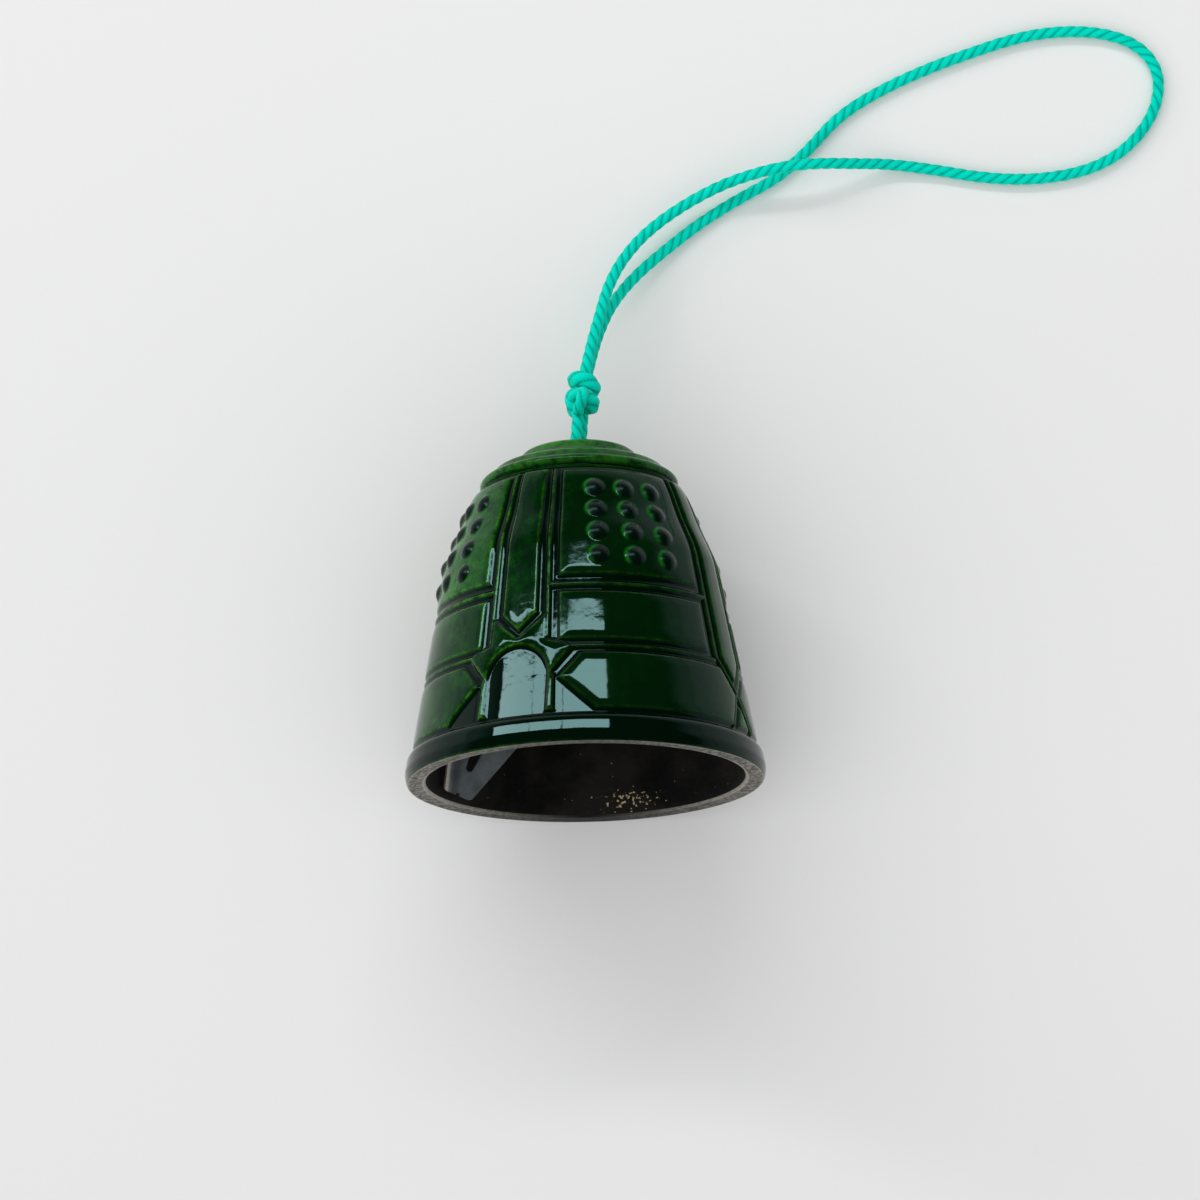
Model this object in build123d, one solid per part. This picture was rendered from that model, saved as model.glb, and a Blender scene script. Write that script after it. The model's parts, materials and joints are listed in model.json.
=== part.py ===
from build123d import *
import os
from math import asin, atan2, cos, degrees, hypot, pi, radians, sin, sqrt, tan

# Small cast-iron furin wind bell with its hanging cord and its sheet-metal clapper.
# Millimetres, +Z up. The bell lies on its side, with its mouth towards -Y and its crown towards +Y.
# Until it is laid down, the bell stands mouth down: +Z is its axis, heights start at the mouth face,
# and an angle of -90 degrees round that axis is the side that ends on top.

# Bell outline: the radii of body, waist and shoulder are those of the raised ornament
lip_radius = 28.0
lip_height = 1.8
lip_round = 4.4
torus_height = 4.1
torus_slope_height = 0.7
base_radius = 26.84
waist_radius = 21.7
waist_height = 33.0
shoulder_radius = 16.4
shoulder_height = 46.5
wall = 2.9
crown_thickness = 3.8
roof_radius = 9.0

# Crown, from the groove over the ornament up to the cap
groove_height = 0.7
bead_radius = 15.7
bead_round = 0.8
step_gap = 0.2
step_foot_radius = 14.2
step_top_radius = 13.5
step_height = 1.2
cone_height = 1.5
cap_foot_radius = 9.7
cap_edge_radius = 9.1
cap_height = 1.2
cap_top_radius = 8.5
cap_bevel = 0.4
cord_hole_diameter = 4.4

# Raised ornament: its heights are shares of the stretch from the foot of the body to the shoulder
relief_depth = 0.55
relief_root = 0.25
arch_strap_angles = (-113.5, 66.5)
cross_strap_angles = (-23.5, 156.5)
strap_half_angle = 7.1
rib_angle = 11.0
rib_half_angle = 0.9
panel_edge_angle = 15.0
stud_panel_shares = (0.537, 0.985)
plain_panel_shares = (0.281, 0.475)
upper_ledge_shares = (0.492, 0.511)
lower_ledge_shares = (0.250, 0.264)
bar_shares = (0.012, 0.235)
bar_tip_share = 0.139
bar_near_tip_angle = 15.0
bar_near_corner_angles = (27.5, 23.0)
bar_far_corner_angles = (82.0, 80.5)
bar_far_tip_angle = 88.5
arch_strap_shares = (0.3285, 0.398)
channel_shares = (0.307, 0.398)
web_rib_share = 0.290
web_flare_angle = 18.0
web_flare_share = 0.272
web_corner_angle = 20.5
web_notch_angle = 12.9
web_notch_share = 0.163
web_side_angle = 13.6
web_side_share = 0.134
arch_radius = 5.0
arch_spring_share = 0.1535
cross_strap_shares = (0.192, 0.276)
crossing_share = 0.1535
cross_foot_angle = 7.5
cross_bar_width = 0.75
gusset_half_angle = 4.6
gusset_share = 0.105
past_shoulder_share = 1.05

# Studs: three columns and four rows on each stud panel
stud_radius = 1.4
stud_rise = 0.9
stud_middle_angle = 45.7
stud_column_pitch_angle = 14.7
stud_row_shares = (0.614, 0.712, 0.811, 0.902)

# Cord and its knots
cord_diameter = 1.9
strand_gap = 0.1
strand_stack_lean = 22.0
neck_lift = 0.65
knot_half_length = 3.45
knot_core_radius = 1.9
knot_wrap_radius = 1.85
knot_wrap_spacing = 2.5
knot_wrap_lean = 13.0
knot_end_gap = 0.15
stop_knot_radius = 2.6
seat_gap = 0.1

# Route of the hanging loop, from the knot round and back to it: points chosen by hand
loop_route = [
    (1.4, 42.0, 15.2), (2.5, 46.8, 13.0), (3.9, 51.6, 10.8), (5.2, 56.3, 8.6), (7.6, 61.2, 6.6),
    (11.5, 65.9, 4.9), (17.3, 70.3, 3.7), (23.9, 73.7, 4.0), (29.4, 75.3, 5.2), (34.5, 76.3, 5.9),
    (40.2, 76.7, 5.9), (45.7, 76.9, 4.0), (51.7, 77.2, 1.6), (59.3, 76.2, 1.0), (66.8, 74.7, 1.0),
    (74.8, 74.1, 1.0), (82.7, 75.0, 1.0), (88.7, 77.3, 1.0), (93.3, 81.2, 1.0), (96.3, 86.2, 1.0),
    (96.8, 91.7, 1.0), (93.8, 96.1, 1.0), (88.0, 98.4, 1.0), (81.0, 98.9, 1.0), (73.9, 98.0, 1.0),
    (66.3, 95.7, 1.0), (58.0, 92.8, 1.0), (50.0, 89.2, 1.0), (43.6, 85.2, 1.0), (38.7, 79.8, 1.0),
    (33.5, 75.3, 1.0), (27.2, 72.1, 1.0), (20.7, 68.2, 1.0), (14.7, 63.6, 1.5), (9.5, 59.0, 3.0),
    (6.0, 54.4, 5.6), (4.1, 50.3, 8.0), (2.6, 45.8, 10.6), (1.5, 40.9, 13.3),
]
bend_share = 0.45

# Clapper: a sheet-metal plate on one strand of the cord, resting on the wall at the lower left
clapper_swing_angle = 154.4
clapper_twist = 46.0
plate_foot_rise = 0.8
plate_foot_gap = 2.35
plate_thickness = 1.0
plate_foot_width = 4.6
plate_corner_round = 0.8
plate_shoulder_width = 12.4
plate_shoulder_height = 12.0
plate_height = 17.0
plate_notch_width = 0.7
plate_notch_depth = 0.4
plate_hole_diameter = 3.0
plate_hole_margin = 1.1
slot_foot_height = 4.1
slot_foot_round = 0.6
slot_head_height = 9.6
slot_head_round = 1.2
eye_ring_radius = 2.0
clapper_knot_radius = 1.75

# Cuts run past the faces that they open by this much, and cylinders stand on their lower ends
overrun = 1.0
from_foot = (Align.CENTER, Align.CENTER, Align.MIN)

# Turns in degrees
quarter_turn = 90.0
half_turn = 180.0
full_turn = 360.0

# Sizes that follow from those above
cord_radius = cord_diameter / 2
relief_base = torus_height + torus_slope_height
relief_height = shoulder_height - relief_base
body_slope = atan2(base_radius - waist_radius, waist_height - relief_base)
shoulder_run = waist_radius - shoulder_radius
shoulder_rise = shoulder_height - waist_height
shoulder_fall = shoulder_run * cos(body_slope) - shoulder_rise * sin(body_slope)
shoulder_round = (shoulder_run ** 2 + shoulder_rise ** 2) / (2 * shoulder_fall)
shoulder_centre_radius = waist_radius - shoulder_round * cos(body_slope)
shoulder_centre_height = waist_height - shoulder_round * sin(body_slope)
lip_centre_radius = lip_radius - lip_round
face_radius = lip_centre_radius + sqrt(lip_round ** 2 - lip_height ** 2)
torus_edge_radius = lip_centre_radius + sqrt(lip_round ** 2 - (torus_height - lip_height) ** 2)
bead_height = shoulder_height + groove_height + bead_round
step_foot_height = bead_height + bead_round + step_gap
step_top_height = step_foot_height + step_height
cap_foot_height = step_top_height + cone_height
cap_edge_height = cap_foot_height + cap_height
crown_height = cap_edge_height + cap_bevel
roof_height = crown_height - crown_thickness
stud_round = (stud_radius ** 2 + stud_rise ** 2) / (2 * stud_rise)
reach = 2 * lip_radius
stencil_root = cap_foot_radius


def share_height(share):
    """The height of a share of the ornament's stretch."""
    return relief_base + share * relief_height


def surface_radius(height):
    """The radius of the raised ornament's face at a height."""
    if height < waist_height:
        return waist_radius + (waist_height - height) * tan(body_slope)
    return shoulder_centre_radius + sqrt(shoulder_round ** 2 - (height - shoulder_centre_height) ** 2)


def surface_slope(height):
    """The angle that the surface's outward normal rises at a height."""
    if height < waist_height:
        return body_slope
    return asin((height - shoulder_centre_height) / shoulder_round)


def under_surface(height, depth):
    """The radius and height of the point that lies straight in from the surface at a height."""
    rise_angle = surface_slope(height)
    return surface_radius(height) - depth * cos(rise_angle), height - depth * sin(rise_angle)


def side_edges(depth, height_from):
    """The straight run and the shoulder arc of the bell's side at a depth, from foot to shoulder."""
    waist = under_surface(waist_height, depth)
    middle = under_surface((waist_height + shoulder_height) / 2, depth)
    return [
        Line(under_surface(height_from, depth), waist),
        ThreePointArc(waist, middle, under_surface(shoulder_height, depth)),
    ]


def turned(edges):
    """The solid of an outline of radii and heights turned round the bell's axis."""
    return revolve(Plane.XZ * make_face(edges), Axis.Z)


# Studs and how the bell lies: on its lip and on the stud that reaches lowest


def stud_angles():
    """The angle of each column of studs round the bell."""
    angles = []
    for strap_angle in arch_strap_angles:
        for side in (-1, 1):
            for column in (-1, 0, 1):
                angles.append(strap_angle + side * (stud_middle_angle + column * stud_column_pitch_angle))
    return angles


def stud_centre(share):
    """The radius and height of the centre of a stud's round."""
    return under_surface(share_height(share), stud_round - stud_rise)


def resting_tilt():
    """How far the crown drops, in degrees, until a stud meets the table that the lip lies on."""
    off_bottom = min(
        abs((angle - quarter_turn + half_turn) % full_turn - half_turn) for angle in stud_angles()
    )
    tilts = []
    for share in stud_row_shares:
        centre_radius, centre_height = stud_centre(share)
        across = lip_centre_radius - centre_radius * cos(radians(off_bottom))
        along = centre_height - lip_height
        tilts.append(atan2(across, along) + asin((lip_round - stud_round) / hypot(across, along)))
    return degrees(min(tilts))


crown_outline = [
    (step_foot_radius, step_foot_height),
    (step_top_radius, step_top_height),
    (cap_foot_radius, cap_foot_height),
    (cap_edge_radius, cap_edge_height),
    (cap_top_radius, crown_height),
]
tilt = resting_tilt()
tilt_sine = sin(radians(tilt))
tilt_cosine = cos(radians(tilt))
mouth_z = lip_height * tilt_sine + lip_centre_radius * tilt_cosine + lip_round
back_y = max(height * tilt_cosine + radius * tilt_sine for radius, height in crown_outline)
mouth_y = (face_radius * tilt_sine - back_y) / 2
lay_bell = Location((0, mouth_y, mouth_z), (-(quarter_turn + tilt), 0, 0))


def laid(point):
    """Where a point of the standing bell goes when the bell is laid down."""
    return (lay_bell * Pos(*point)).position


# Bell


def wedge(angle_from, angle_to, share_from, share_to=past_shoulder_share):
    """A slice of the bell between two angles and two heights."""
    corners = []
    for angle, distances in ((angle_from, (stencil_root, reach)), (angle_to, (reach, stencil_root))):
        for distance in distances:
            corners.append((distance * cos(radians(angle)), distance * sin(radians(angle))))
    foot = share_height(share_from)
    slab = extrude(make_face(Polyline(*corners, close=True)), share_height(share_to) - foot)
    return Pos(0, 0, foot) * slab


def outward(sketch, angle):
    """A flat shape, drawn on the tangent plane at an angle, pushed outward through the bell's side."""
    around = Vector(-sin(radians(angle)), cos(radians(angle)), 0)
    out = Vector(cos(radians(angle)), sin(radians(angle)), 0)
    return extrude(Plane(out * stencil_root, x_dir=around, z_dir=out) * sketch, reach)


def on_tangent(angle, share):
    """Where an angle from the shape's own middle and a share of height fall on the tangent plane."""
    height = share_height(share)
    return surface_radius(height) * sin(radians(angle)), height


def outline(places):
    """The flat shape inside a list of angles and shares."""
    return make_face(Polyline(*[on_tangent(angle, share) for angle, share in places], close=True))


def mirrored(places):
    """A list of angles and shares, followed by its mirror image back to the start."""
    return places + [(-angle, share) for angle, share in reversed(places) if angle]


def flat_bar(start, end):
    """A thin flat bar between two places of a shape."""
    start_x, start_y = on_tangent(*start)
    end_x, end_y = on_tangent(*end)
    length = hypot(end_x - start_x, end_y - start_y)
    direction = degrees(atan2(end_y - start_y, end_x - start_x))
    middle = Location(((start_x + end_x) / 2, (start_y + end_y) / 2, 0), (0, 0, direction))
    return middle * Rectangle(length + cross_bar_width, cross_bar_width)


def pointed_strap(angle, tip_shares):
    """A strap from the shoulder down to its point."""
    tip_share, corner_share = tip_shares
    strap = wedge(angle - strap_half_angle, angle + strap_half_angle, tip_share)
    for side in (-1, 1):
        far_angle = side * 2 * strap_half_angle
        corner = [(0, tip_share), (far_angle, 2 * corner_share - tip_share), (far_angle, 0), (0, 0)]
        strap -= outward(outline(corner), angle)
    return strap


def arch_strap(angle):
    """A pointed strap over the web that frames its tip and the arch."""
    channel_tip_share, channel_rib_share = channel_shares
    web = outline(mirrored([
        (0, channel_tip_share),
        (rib_angle, channel_rib_share),
        (rib_angle, web_rib_share),
        (web_flare_angle, web_flare_share),
        (web_corner_angle, sum(lower_ledge_shares) / 2),
        (web_notch_angle, web_notch_share),
        (web_side_angle, web_side_share),
        (web_side_angle, bar_shares[0]),
    ]))
    spring_height = share_height(arch_spring_share)
    arch = Pos(0, spring_height) * Circle(arch_radius)
    jambs = Pos(0, spring_height / 2) * Rectangle(2 * arch_radius, spring_height)
    return [pointed_strap(angle, arch_strap_shares), outward(web - arch - jambs, angle)]


def cross_strap(angle):
    """A pointed strap whose ribs cross under its tip and spread to the foot."""
    crossing = (0, crossing_share)
    bars = Sketch()
    for side in (-1, 1):
        bars += flat_bar((side * rib_angle, cross_strap_shares[1]), crossing)
        bars += flat_bar(crossing, (side * cross_foot_angle, bar_shares[0]))
    gusset = outline(mirrored([(0, gusset_share), (gusset_half_angle, bar_shares[0])]))
    return [pointed_strap(angle, cross_strap_shares), outward(bars, angle), outward(gusset, angle)]


def quarter_field(strap_angle, side):
    """The panels, ledges, ribs and pointed bar between an arch strap and the next strap on one side."""

    def span(angle_from, angle_to, shares):
        ends = sorted((strap_angle + side * angle_from, strap_angle + side * angle_to))
        return wedge(*ends, *shares)

    def beyond(tip_angle, corner_angles):
        """What the bar's pointed end leaves free, outside its two sloping edges."""
        middle_angle = sum(corner_angles) / 2
        past_angle = 2 * tip_angle - middle_angle
        places = [
            (corner_angles[0], bar_shares[0]),
            (tip_angle, bar_tip_share),
            (corner_angles[1], bar_shares[1]),
            (corner_angles[1], plain_panel_shares[0]),
            (past_angle, plain_panel_shares[0]),
            (past_angle, 0),
            (corner_angles[0], 0),
        ]
        turned_places = [(side * (angle - middle_angle), share) for angle, share in places]
        return outward(outline(turned_places), strap_angle + side * middle_angle)

    far_edge_angle = quarter_turn - panel_edge_angle
    far_rib_angle = quarter_turn - rib_angle
    bar = span(bar_near_tip_angle - rib_half_angle, bar_far_tip_angle + rib_half_angle, bar_shares)
    bar -= beyond(bar_near_tip_angle, bar_near_corner_angles)
    bar -= beyond(bar_far_tip_angle, bar_far_corner_angles)
    return [
        bar,
        span(panel_edge_angle, far_edge_angle, stud_panel_shares),
        span(panel_edge_angle, far_edge_angle, plain_panel_shares),
        span(rib_angle, far_rib_angle, upper_ledge_shares),
        span(web_flare_angle, far_rib_angle, lower_ledge_shares),
        span(rib_angle - rib_half_angle, rib_angle + rib_half_angle, (web_rib_share, past_shoulder_share)),
        span(far_rib_angle - rib_half_angle, far_rib_angle + rib_half_angle,
             (cross_strap_shares[1], past_shoulder_share)),
    ]


def bell_blank():
    """The bell's outside without its raised ornament."""
    bead_foot = (bead_radius - bead_round, bead_height - bead_round)
    bead_top = (bead_radius - bead_round, bead_height + bead_round)
    edges = [
        Line((0, 0), (face_radius, 0)),
        ThreePointArc((face_radius, 0), (lip_radius, lip_height), (torus_edge_radius, torus_height)),
        Line((torus_edge_radius, torus_height), under_surface(relief_base, relief_depth)),
        *side_edges(relief_depth, relief_base),
        Line(under_surface(shoulder_height, relief_depth), bead_foot),
        ThreePointArc(bead_foot, (bead_radius, bead_height), bead_top),
        Polyline(bead_top, *crown_outline, (0, crown_height), (0, 0)),
    ]
    return turned(edges)


def relief():
    """The raised ornament, rooted a little way into the bell."""
    root = relief_depth + relief_root
    foot = Line(under_surface(relief_base, root), under_surface(relief_base, 0))
    top = Line(under_surface(shoulder_height, root), under_surface(shoulder_height, 0))
    skin = turned([*side_edges(0, relief_base), top, *side_edges(root, relief_base), foot])
    stencils = []
    for angle in arch_strap_angles:
        stencils += arch_strap(angle)
        for side in (-1, 1):
            stencils += quarter_field(angle, side)
    for angle in cross_strap_angles:
        stencils += cross_strap(angle)
    return (skin & Part().fuse(*stencils)).solids()


def studs():
    """All the studs, as balls sunk in the stud panels."""
    balls = []
    for angle in stud_angles():
        for share in stud_row_shares:
            centre_radius, centre_height = stud_centre(share)
            balls.append(Rot(0, 0, angle) * Pos(centre_radius, 0, centre_height) * Sphere(stud_round))
    return balls


def cavity():
    """The space inside the bell and the cord's hole through its crown."""
    mouth = under_surface(-overrun, wall)
    shoulder = under_surface(shoulder_height, wall)
    roof = Polyline(shoulder, (roof_radius, roof_height), (0, roof_height), (0, mouth[1]), mouth)
    inside = turned([*side_edges(wall, -overrun), roof])
    hole_foot = roof_height - overrun
    hole = Cylinder(cord_hole_diameter / 2, crown_thickness + 2 * overrun, align=from_foot)
    return inside + Pos(0, 0, hole_foot) * hole


def bell_shell():
    """The casting."""
    casting = (bell_blank() - cavity()).fuse(*relief(), *studs())
    return lay_bell * casting


# Cord


def tube(start, end, radius, ball_at_start=False):
    """A straight round piece of cord between two points."""
    start = Vector(*start)
    end = Vector(*end)
    length = (end - start).length
    body = Plane(start, z_dir=end - start) * Cylinder(radius, length, align=from_foot)
    if ball_at_start:
        body += Pos(*start) * Sphere(radius)
    return body


def strand_offsets(along):
    """The two sideways steps, from the middle of a pair of stacked strands, to its strands."""
    along = Vector(*along).normalized()
    sideways = along.cross(Vector(0, 0, 1)).normalized()
    upright = sideways.cross(along)
    lean = radians(strand_stack_lean)
    stack = upright * cos(lean) - sideways * sin(lean)
    half_step = cord_radius + strand_gap / 2
    return [stack * half_step, stack * -half_step]


def route_radii(points):
    """The bend radius at each inner point of a route, as large as its two runs allow."""
    radii = []
    for before, point, after in zip(points, points[1:], points[2:]):
        run_in = Vector(*point) - Vector(*before)
        run_out = Vector(*after) - Vector(*point)
        half_bend = radians(run_in.get_angle(run_out)) / 2
        radii.append(bend_share * min(run_in.length, run_out.length) / tan(half_bend))
    return radii


def routed_cord(points):
    """A cord along a route of points, and its length."""
    radii = route_radii(points)
    print("cord bend radii", [round(radius, 1) for radius in radii])
    path = FilletPolyline(*points, radius=radii)
    section = Plane(points[0], z_dir=Vector(*points[1]) - Vector(*points[0])) * Circle(cord_radius)
    cord = sweep(section, path=path)
    expected = pi * cord_radius ** 2 * path.length
    print("cord length", round(path.length, 1), "volume", round(cord.volume, 1), "of", round(expected, 1))
    return cord


first_run = (Vector(*loop_route[1]) - Vector(*loop_route[0])).normalized()
last_run = (Vector(*loop_route[-2]) - Vector(*loop_route[-1])).normalized()
knot_along = (first_run + last_run).normalized()
knot_end = (Vector(*loop_route[0]) + Vector(*loop_route[-1])) / 2
knot_centre = knot_end - knot_along * (knot_half_length + knot_end_gap)
crown_top = laid((0, 0, crown_height))
bell_along = (crown_top - laid((0, 0, 0))).normalized()
neck_pivot = crown_top + bell_along * (cord_radius + neck_lift)
neck_along = (knot_centre - neck_pivot).normalized()
knot_tilt_plane = Plane(knot_centre, z_dir=knot_along)


def neck_cord():
    """The two strands from the crown to the knot."""
    knot_side = knot_centre - neck_along * (knot_half_length + knot_end_gap)
    strands = []
    for step in strand_offsets(neck_along):
        strands.append(tube(neck_pivot + step, knot_side + step, cord_radius, ball_at_start=True))
    return Compound(strands)


def loop_knot():
    """The knot in both strands: two leaning wraps round a doubled core with rounded ends."""
    core = Cylinder(knot_core_radius, 2 * knot_half_length) & Sphere(knot_half_length)
    for side in (-1, 1):
        wrap = Torus(knot_wrap_radius, cord_radius)
        core += Pos(0, 0, side * knot_wrap_spacing / 2) * Rot(0, side * knot_wrap_lean, 0) * wrap
    return knot_tilt_plane * core


def crown_cord():
    """The two strands through the crown's hole."""
    inner_end = laid((0, 0, roof_height))
    strands = []
    for step in strand_offsets(bell_along):
        strands.append(tube(inner_end + step, crown_top + step, cord_radius))
    return Compound(strands)


stop_knot_height = roof_height - seat_gap - stop_knot_radius


def stop_knot():
    """The knot under the crown that the bell hangs on."""
    return lay_bell * Pos(0, 0, stop_knot_height) * Sphere(stop_knot_radius)


# Clapper: its own frame hangs from the pivot, with +X along the plate's width, +Z back up the cord
# and the plate's foot at the end of the reach
clapper_pivot_height = stop_knot_height - stop_knot_radius - seat_gap - cord_radius
plate_foot_radius = under_surface(0, wall)[0] - plate_foot_gap
clapper_drop = clapper_pivot_height - plate_foot_rise
clapper_lean = degrees(atan2(plate_foot_radius, clapper_drop))
clapper_reach = hypot(plate_foot_radius, clapper_drop)
hang_clapper = (
    lay_bell * Pos(0, 0, clapper_pivot_height) * Rot(0, 0, clapper_swing_angle)
    * Rot(0, -clapper_lean, 0) * Rot(0, 0, clapper_twist)
)
plate_foot = -clapper_reach
eye_hole_height = plate_foot + plate_height - plate_hole_margin - plate_hole_diameter / 2
eye_ring_height = eye_hole_height + eye_ring_radius
clapper_knot_height = eye_ring_height + eye_ring_radius + clapper_knot_radius / 2


def clapper_plate():
    """The tapered plate with its slot and its hanging hole."""
    foot_half = plate_foot_width / 2
    shoulder_half = plate_shoulder_width / 2
    left_shoulder = (-shoulder_half, plate_shoulder_height)
    right_shoulder = (shoulder_half, plate_shoulder_height)
    blank = make_face([
        Polyline(left_shoulder, (-foot_half, 0), (foot_half, 0), right_shoulder),
        ThreePointArc(right_shoulder, (0, plate_height), left_shoulder),
    ])
    blank = fillet(blank.vertices().group_by(Axis.Y)[0], plate_corner_round)
    notch = Rectangle(plate_notch_width, 2 * plate_notch_depth)
    foot_circle = Pos(0, slot_foot_height + slot_foot_round) * Circle(slot_foot_round)
    head_circle = Pos(0, slot_head_height) * Circle(slot_head_round)
    slot = make_hull((foot_circle + head_circle).edges())
    hole = Pos(0, eye_hole_height - plate_foot) * Circle(plate_hole_diameter / 2)
    plate = extrude(blank - notch - slot - hole, plate_thickness / 2, both=True)
    return hang_clapper * Pos(0, 0, plate_foot) * Rot(quarter_turn, 0, 0) * plate


def clapper_knot():
    """The eye of cord through the plate's hole, and the knot that closes it."""
    ring = Pos(0, 0, eye_ring_height) * Rot(0, quarter_turn, 0) * Torus(eye_ring_radius, cord_radius)
    ball = Pos(0, 0, clapper_knot_height) * Sphere(clapper_knot_radius)
    return hang_clapper * (ring + ball)


def clapper_cord():
    """The strand from under the stop knot to the clapper's knot."""
    knot_top = clapper_knot_height + clapper_knot_radius
    length = -knot_top - seat_gap
    strand = Pos(0, 0, -length) * Cylinder(cord_radius, length, align=from_foot)
    return hang_clapper * (strand + Sphere(cord_radius))


def write_nodes():
    """Write each piece under its own name and print the places that joints use."""
    nodes = {
        "bell_shell": bell_shell(),
        "crown_cord": crown_cord(),
        "stop_knot": stop_knot(),
        "neck_cord": neck_cord(),
        "loop_knot": loop_knot(),
        "hanging_loop": routed_cord(loop_route),
        "clapper_cord": clapper_cord(),
        "clapper_knot": clapper_knot(),
        "clapper_plate": clapper_plate(),
    }
    os.makedirs("parts", exist_ok=True)
    for name, solid in nodes.items():
        solid.label = name
        export_step(solid, f"parts/{name}.step")
    print("tilt", round(tilt, 3), "mouth centre", round(mouth_y, 3), round(mouth_z, 3))
    print("neck pivot", neck_pivot, "knot centre", knot_centre)
    print("clapper pivot", laid((0, 0, clapper_pivot_height)))
    print("eye ring centre", (hang_clapper * Pos(0, 0, eye_ring_height)).position)
    print("clapper frame turns", hang_clapper.orientation)


write_nodes()
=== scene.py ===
import json
from math import asin, atan2, cos, hypot, pi, radians, sin, sqrt

import bpy
import numpy as np
from mathutils import Matrix, Vector


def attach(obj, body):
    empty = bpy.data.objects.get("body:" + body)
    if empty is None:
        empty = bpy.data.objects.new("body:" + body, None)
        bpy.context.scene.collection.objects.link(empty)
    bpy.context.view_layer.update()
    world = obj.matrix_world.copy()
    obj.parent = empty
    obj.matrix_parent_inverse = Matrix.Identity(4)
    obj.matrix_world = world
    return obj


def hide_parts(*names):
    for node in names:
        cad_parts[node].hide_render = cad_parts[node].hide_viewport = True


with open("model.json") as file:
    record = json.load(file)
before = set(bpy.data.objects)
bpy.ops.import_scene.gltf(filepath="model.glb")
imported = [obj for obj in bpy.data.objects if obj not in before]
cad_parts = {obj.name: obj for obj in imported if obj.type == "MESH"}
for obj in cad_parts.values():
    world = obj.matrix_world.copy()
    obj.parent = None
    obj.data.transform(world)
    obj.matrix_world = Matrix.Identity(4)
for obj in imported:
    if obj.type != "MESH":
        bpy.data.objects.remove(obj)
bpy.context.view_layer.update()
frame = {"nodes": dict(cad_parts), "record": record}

# Small cast-iron wind bell on its side, with its knotted hanging cord and its clapper.
# Blender works in metres. Names that end in _mm are for millimetres, and MM takes them to metres.

MM = 0.001
FULL_TURN = 2 * pi
DEGREES_ROUND = 360.0
HALF_ROUND = 180.0
QUARTER_ROUND = 90.0
STRAIGHT_UP = np.array((0.0, 0.0, 1.0))

# The photograph's camera
CAMERA_LENS_MM = 120.0
CAMERA_SENSOR_MM = 36.0
CAMERA_ELEVATION = radians(84.4)
CAMERA_AZIMUTH = radians(-1.3)
CAMERA_DISTANCE = 0.65
CAMERA_LOOKS_AT = np.array((0.00292, 0.00665, 0.0))

# Bell outline, as in the CAD
lip_radius_mm = 28.0
lip_height_mm = 1.8
lip_round_mm = 4.4
torus_height_mm = 4.1
torus_slope_height_mm = 0.7
base_radius_mm = 26.84
waist_radius_mm = 21.7
waist_height_mm = 33.0
shoulder_radius_mm = 16.4
shoulder_height_mm = 46.5
wall_mm = 2.9
crown_thickness_mm = 3.8
roof_radius_mm = 9.0
groove_height_mm = 0.7
bead_radius_mm = 15.7
bead_round_mm = 0.8
step_gap_mm = 0.2
step_foot_radius_mm = 14.2
step_top_radius_mm = 13.5
step_height_mm = 1.2
cone_height_mm = 1.5
cap_foot_radius_mm = 9.7
cap_edge_radius_mm = 9.1
cap_height_mm = 1.2
cap_top_radius_mm = 8.5
cap_bevel_mm = 0.4
cord_hole_radius_mm = 2.2

# Raised ornament, as in the CAD. Angles are degrees from the middle of the strap over an arch,
# and heights are shares of the stretch from the foot of the body to its shoulder.
relief_depth_mm = 0.55
arch_strap_angle = 66.5
strap_half_angle = 7.1
rib_angle = 11.0
rib_half_angle = 0.9
panel_edge_angle = 15.0
stud_panel_shares = (0.537, 0.985)
plain_panel_shares = (0.281, 0.475)
upper_ledge_shares = (0.492, 0.511)
lower_ledge_shares = (0.250, 0.264)
bar_outline_shares = (
    (27.5, 0.012), (82.0, 0.012), (88.5, 0.139), (80.5, 0.235), (23.0, 0.235), (15.0, 0.139),
)
arch_strap_shares = (0.3285, 0.398)
cross_strap_shares = (0.192, 0.276)
strap_top_share = 0.999
web_rib_share = 0.290
web_half_outline_shares = (
    (0.0, 0.307), (11.0, 0.398), (11.0, 0.290), (18.0, 0.272), (20.5, 0.257), (12.9, 0.163), (13.6, 0.134),
    (13.6, 0.012),
)
arch_radius_mm = 5.0
arch_spring_share = 0.1535
crossing_share = 0.1535
cross_foot_angle = 7.5
cross_foot_share = 0.012
cross_bar_half_width_mm = 0.375
gusset_half_angle = 4.6
gusset_share = 0.105
stud_angles = (31.0, 45.7, 60.4)
stud_row_shares = (0.614, 0.712, 0.811, 0.902)

# How the casting is meshed, and how soft its edges are
COLUMNS = 720
outside_step_mm = 0.17
inside_step_mm = 0.7
outline_rounding_passes = 3
lip_face_half_angle = radians(13.0)
rim_slant_mm = 0.22
ramp_outside_mm = 0.30
ramp_inside_mm = 0.42
face_crown_mm = 0.08
face_crown_width_mm = 1.6
ridge_blur_mm = 0.32
stud_foot_mm = 1.7
stud_top_mm = 0.62
STUD_STEEPNESS = 1.3
STUD_DARK_SHARES = (0.02, 0.22)
# Painted light: the lit crescent on the left of each stud's foot
crescent_radii_mm = (1.15, 1.55, 2.05)
CRESCENT_LEAN = 3
CRESCENT_SIDE = (0.1, 0.8)
shoulder_ease_mm = 0.62
shoulder_ease_heights_mm = (32.5, 46.5)
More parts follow.
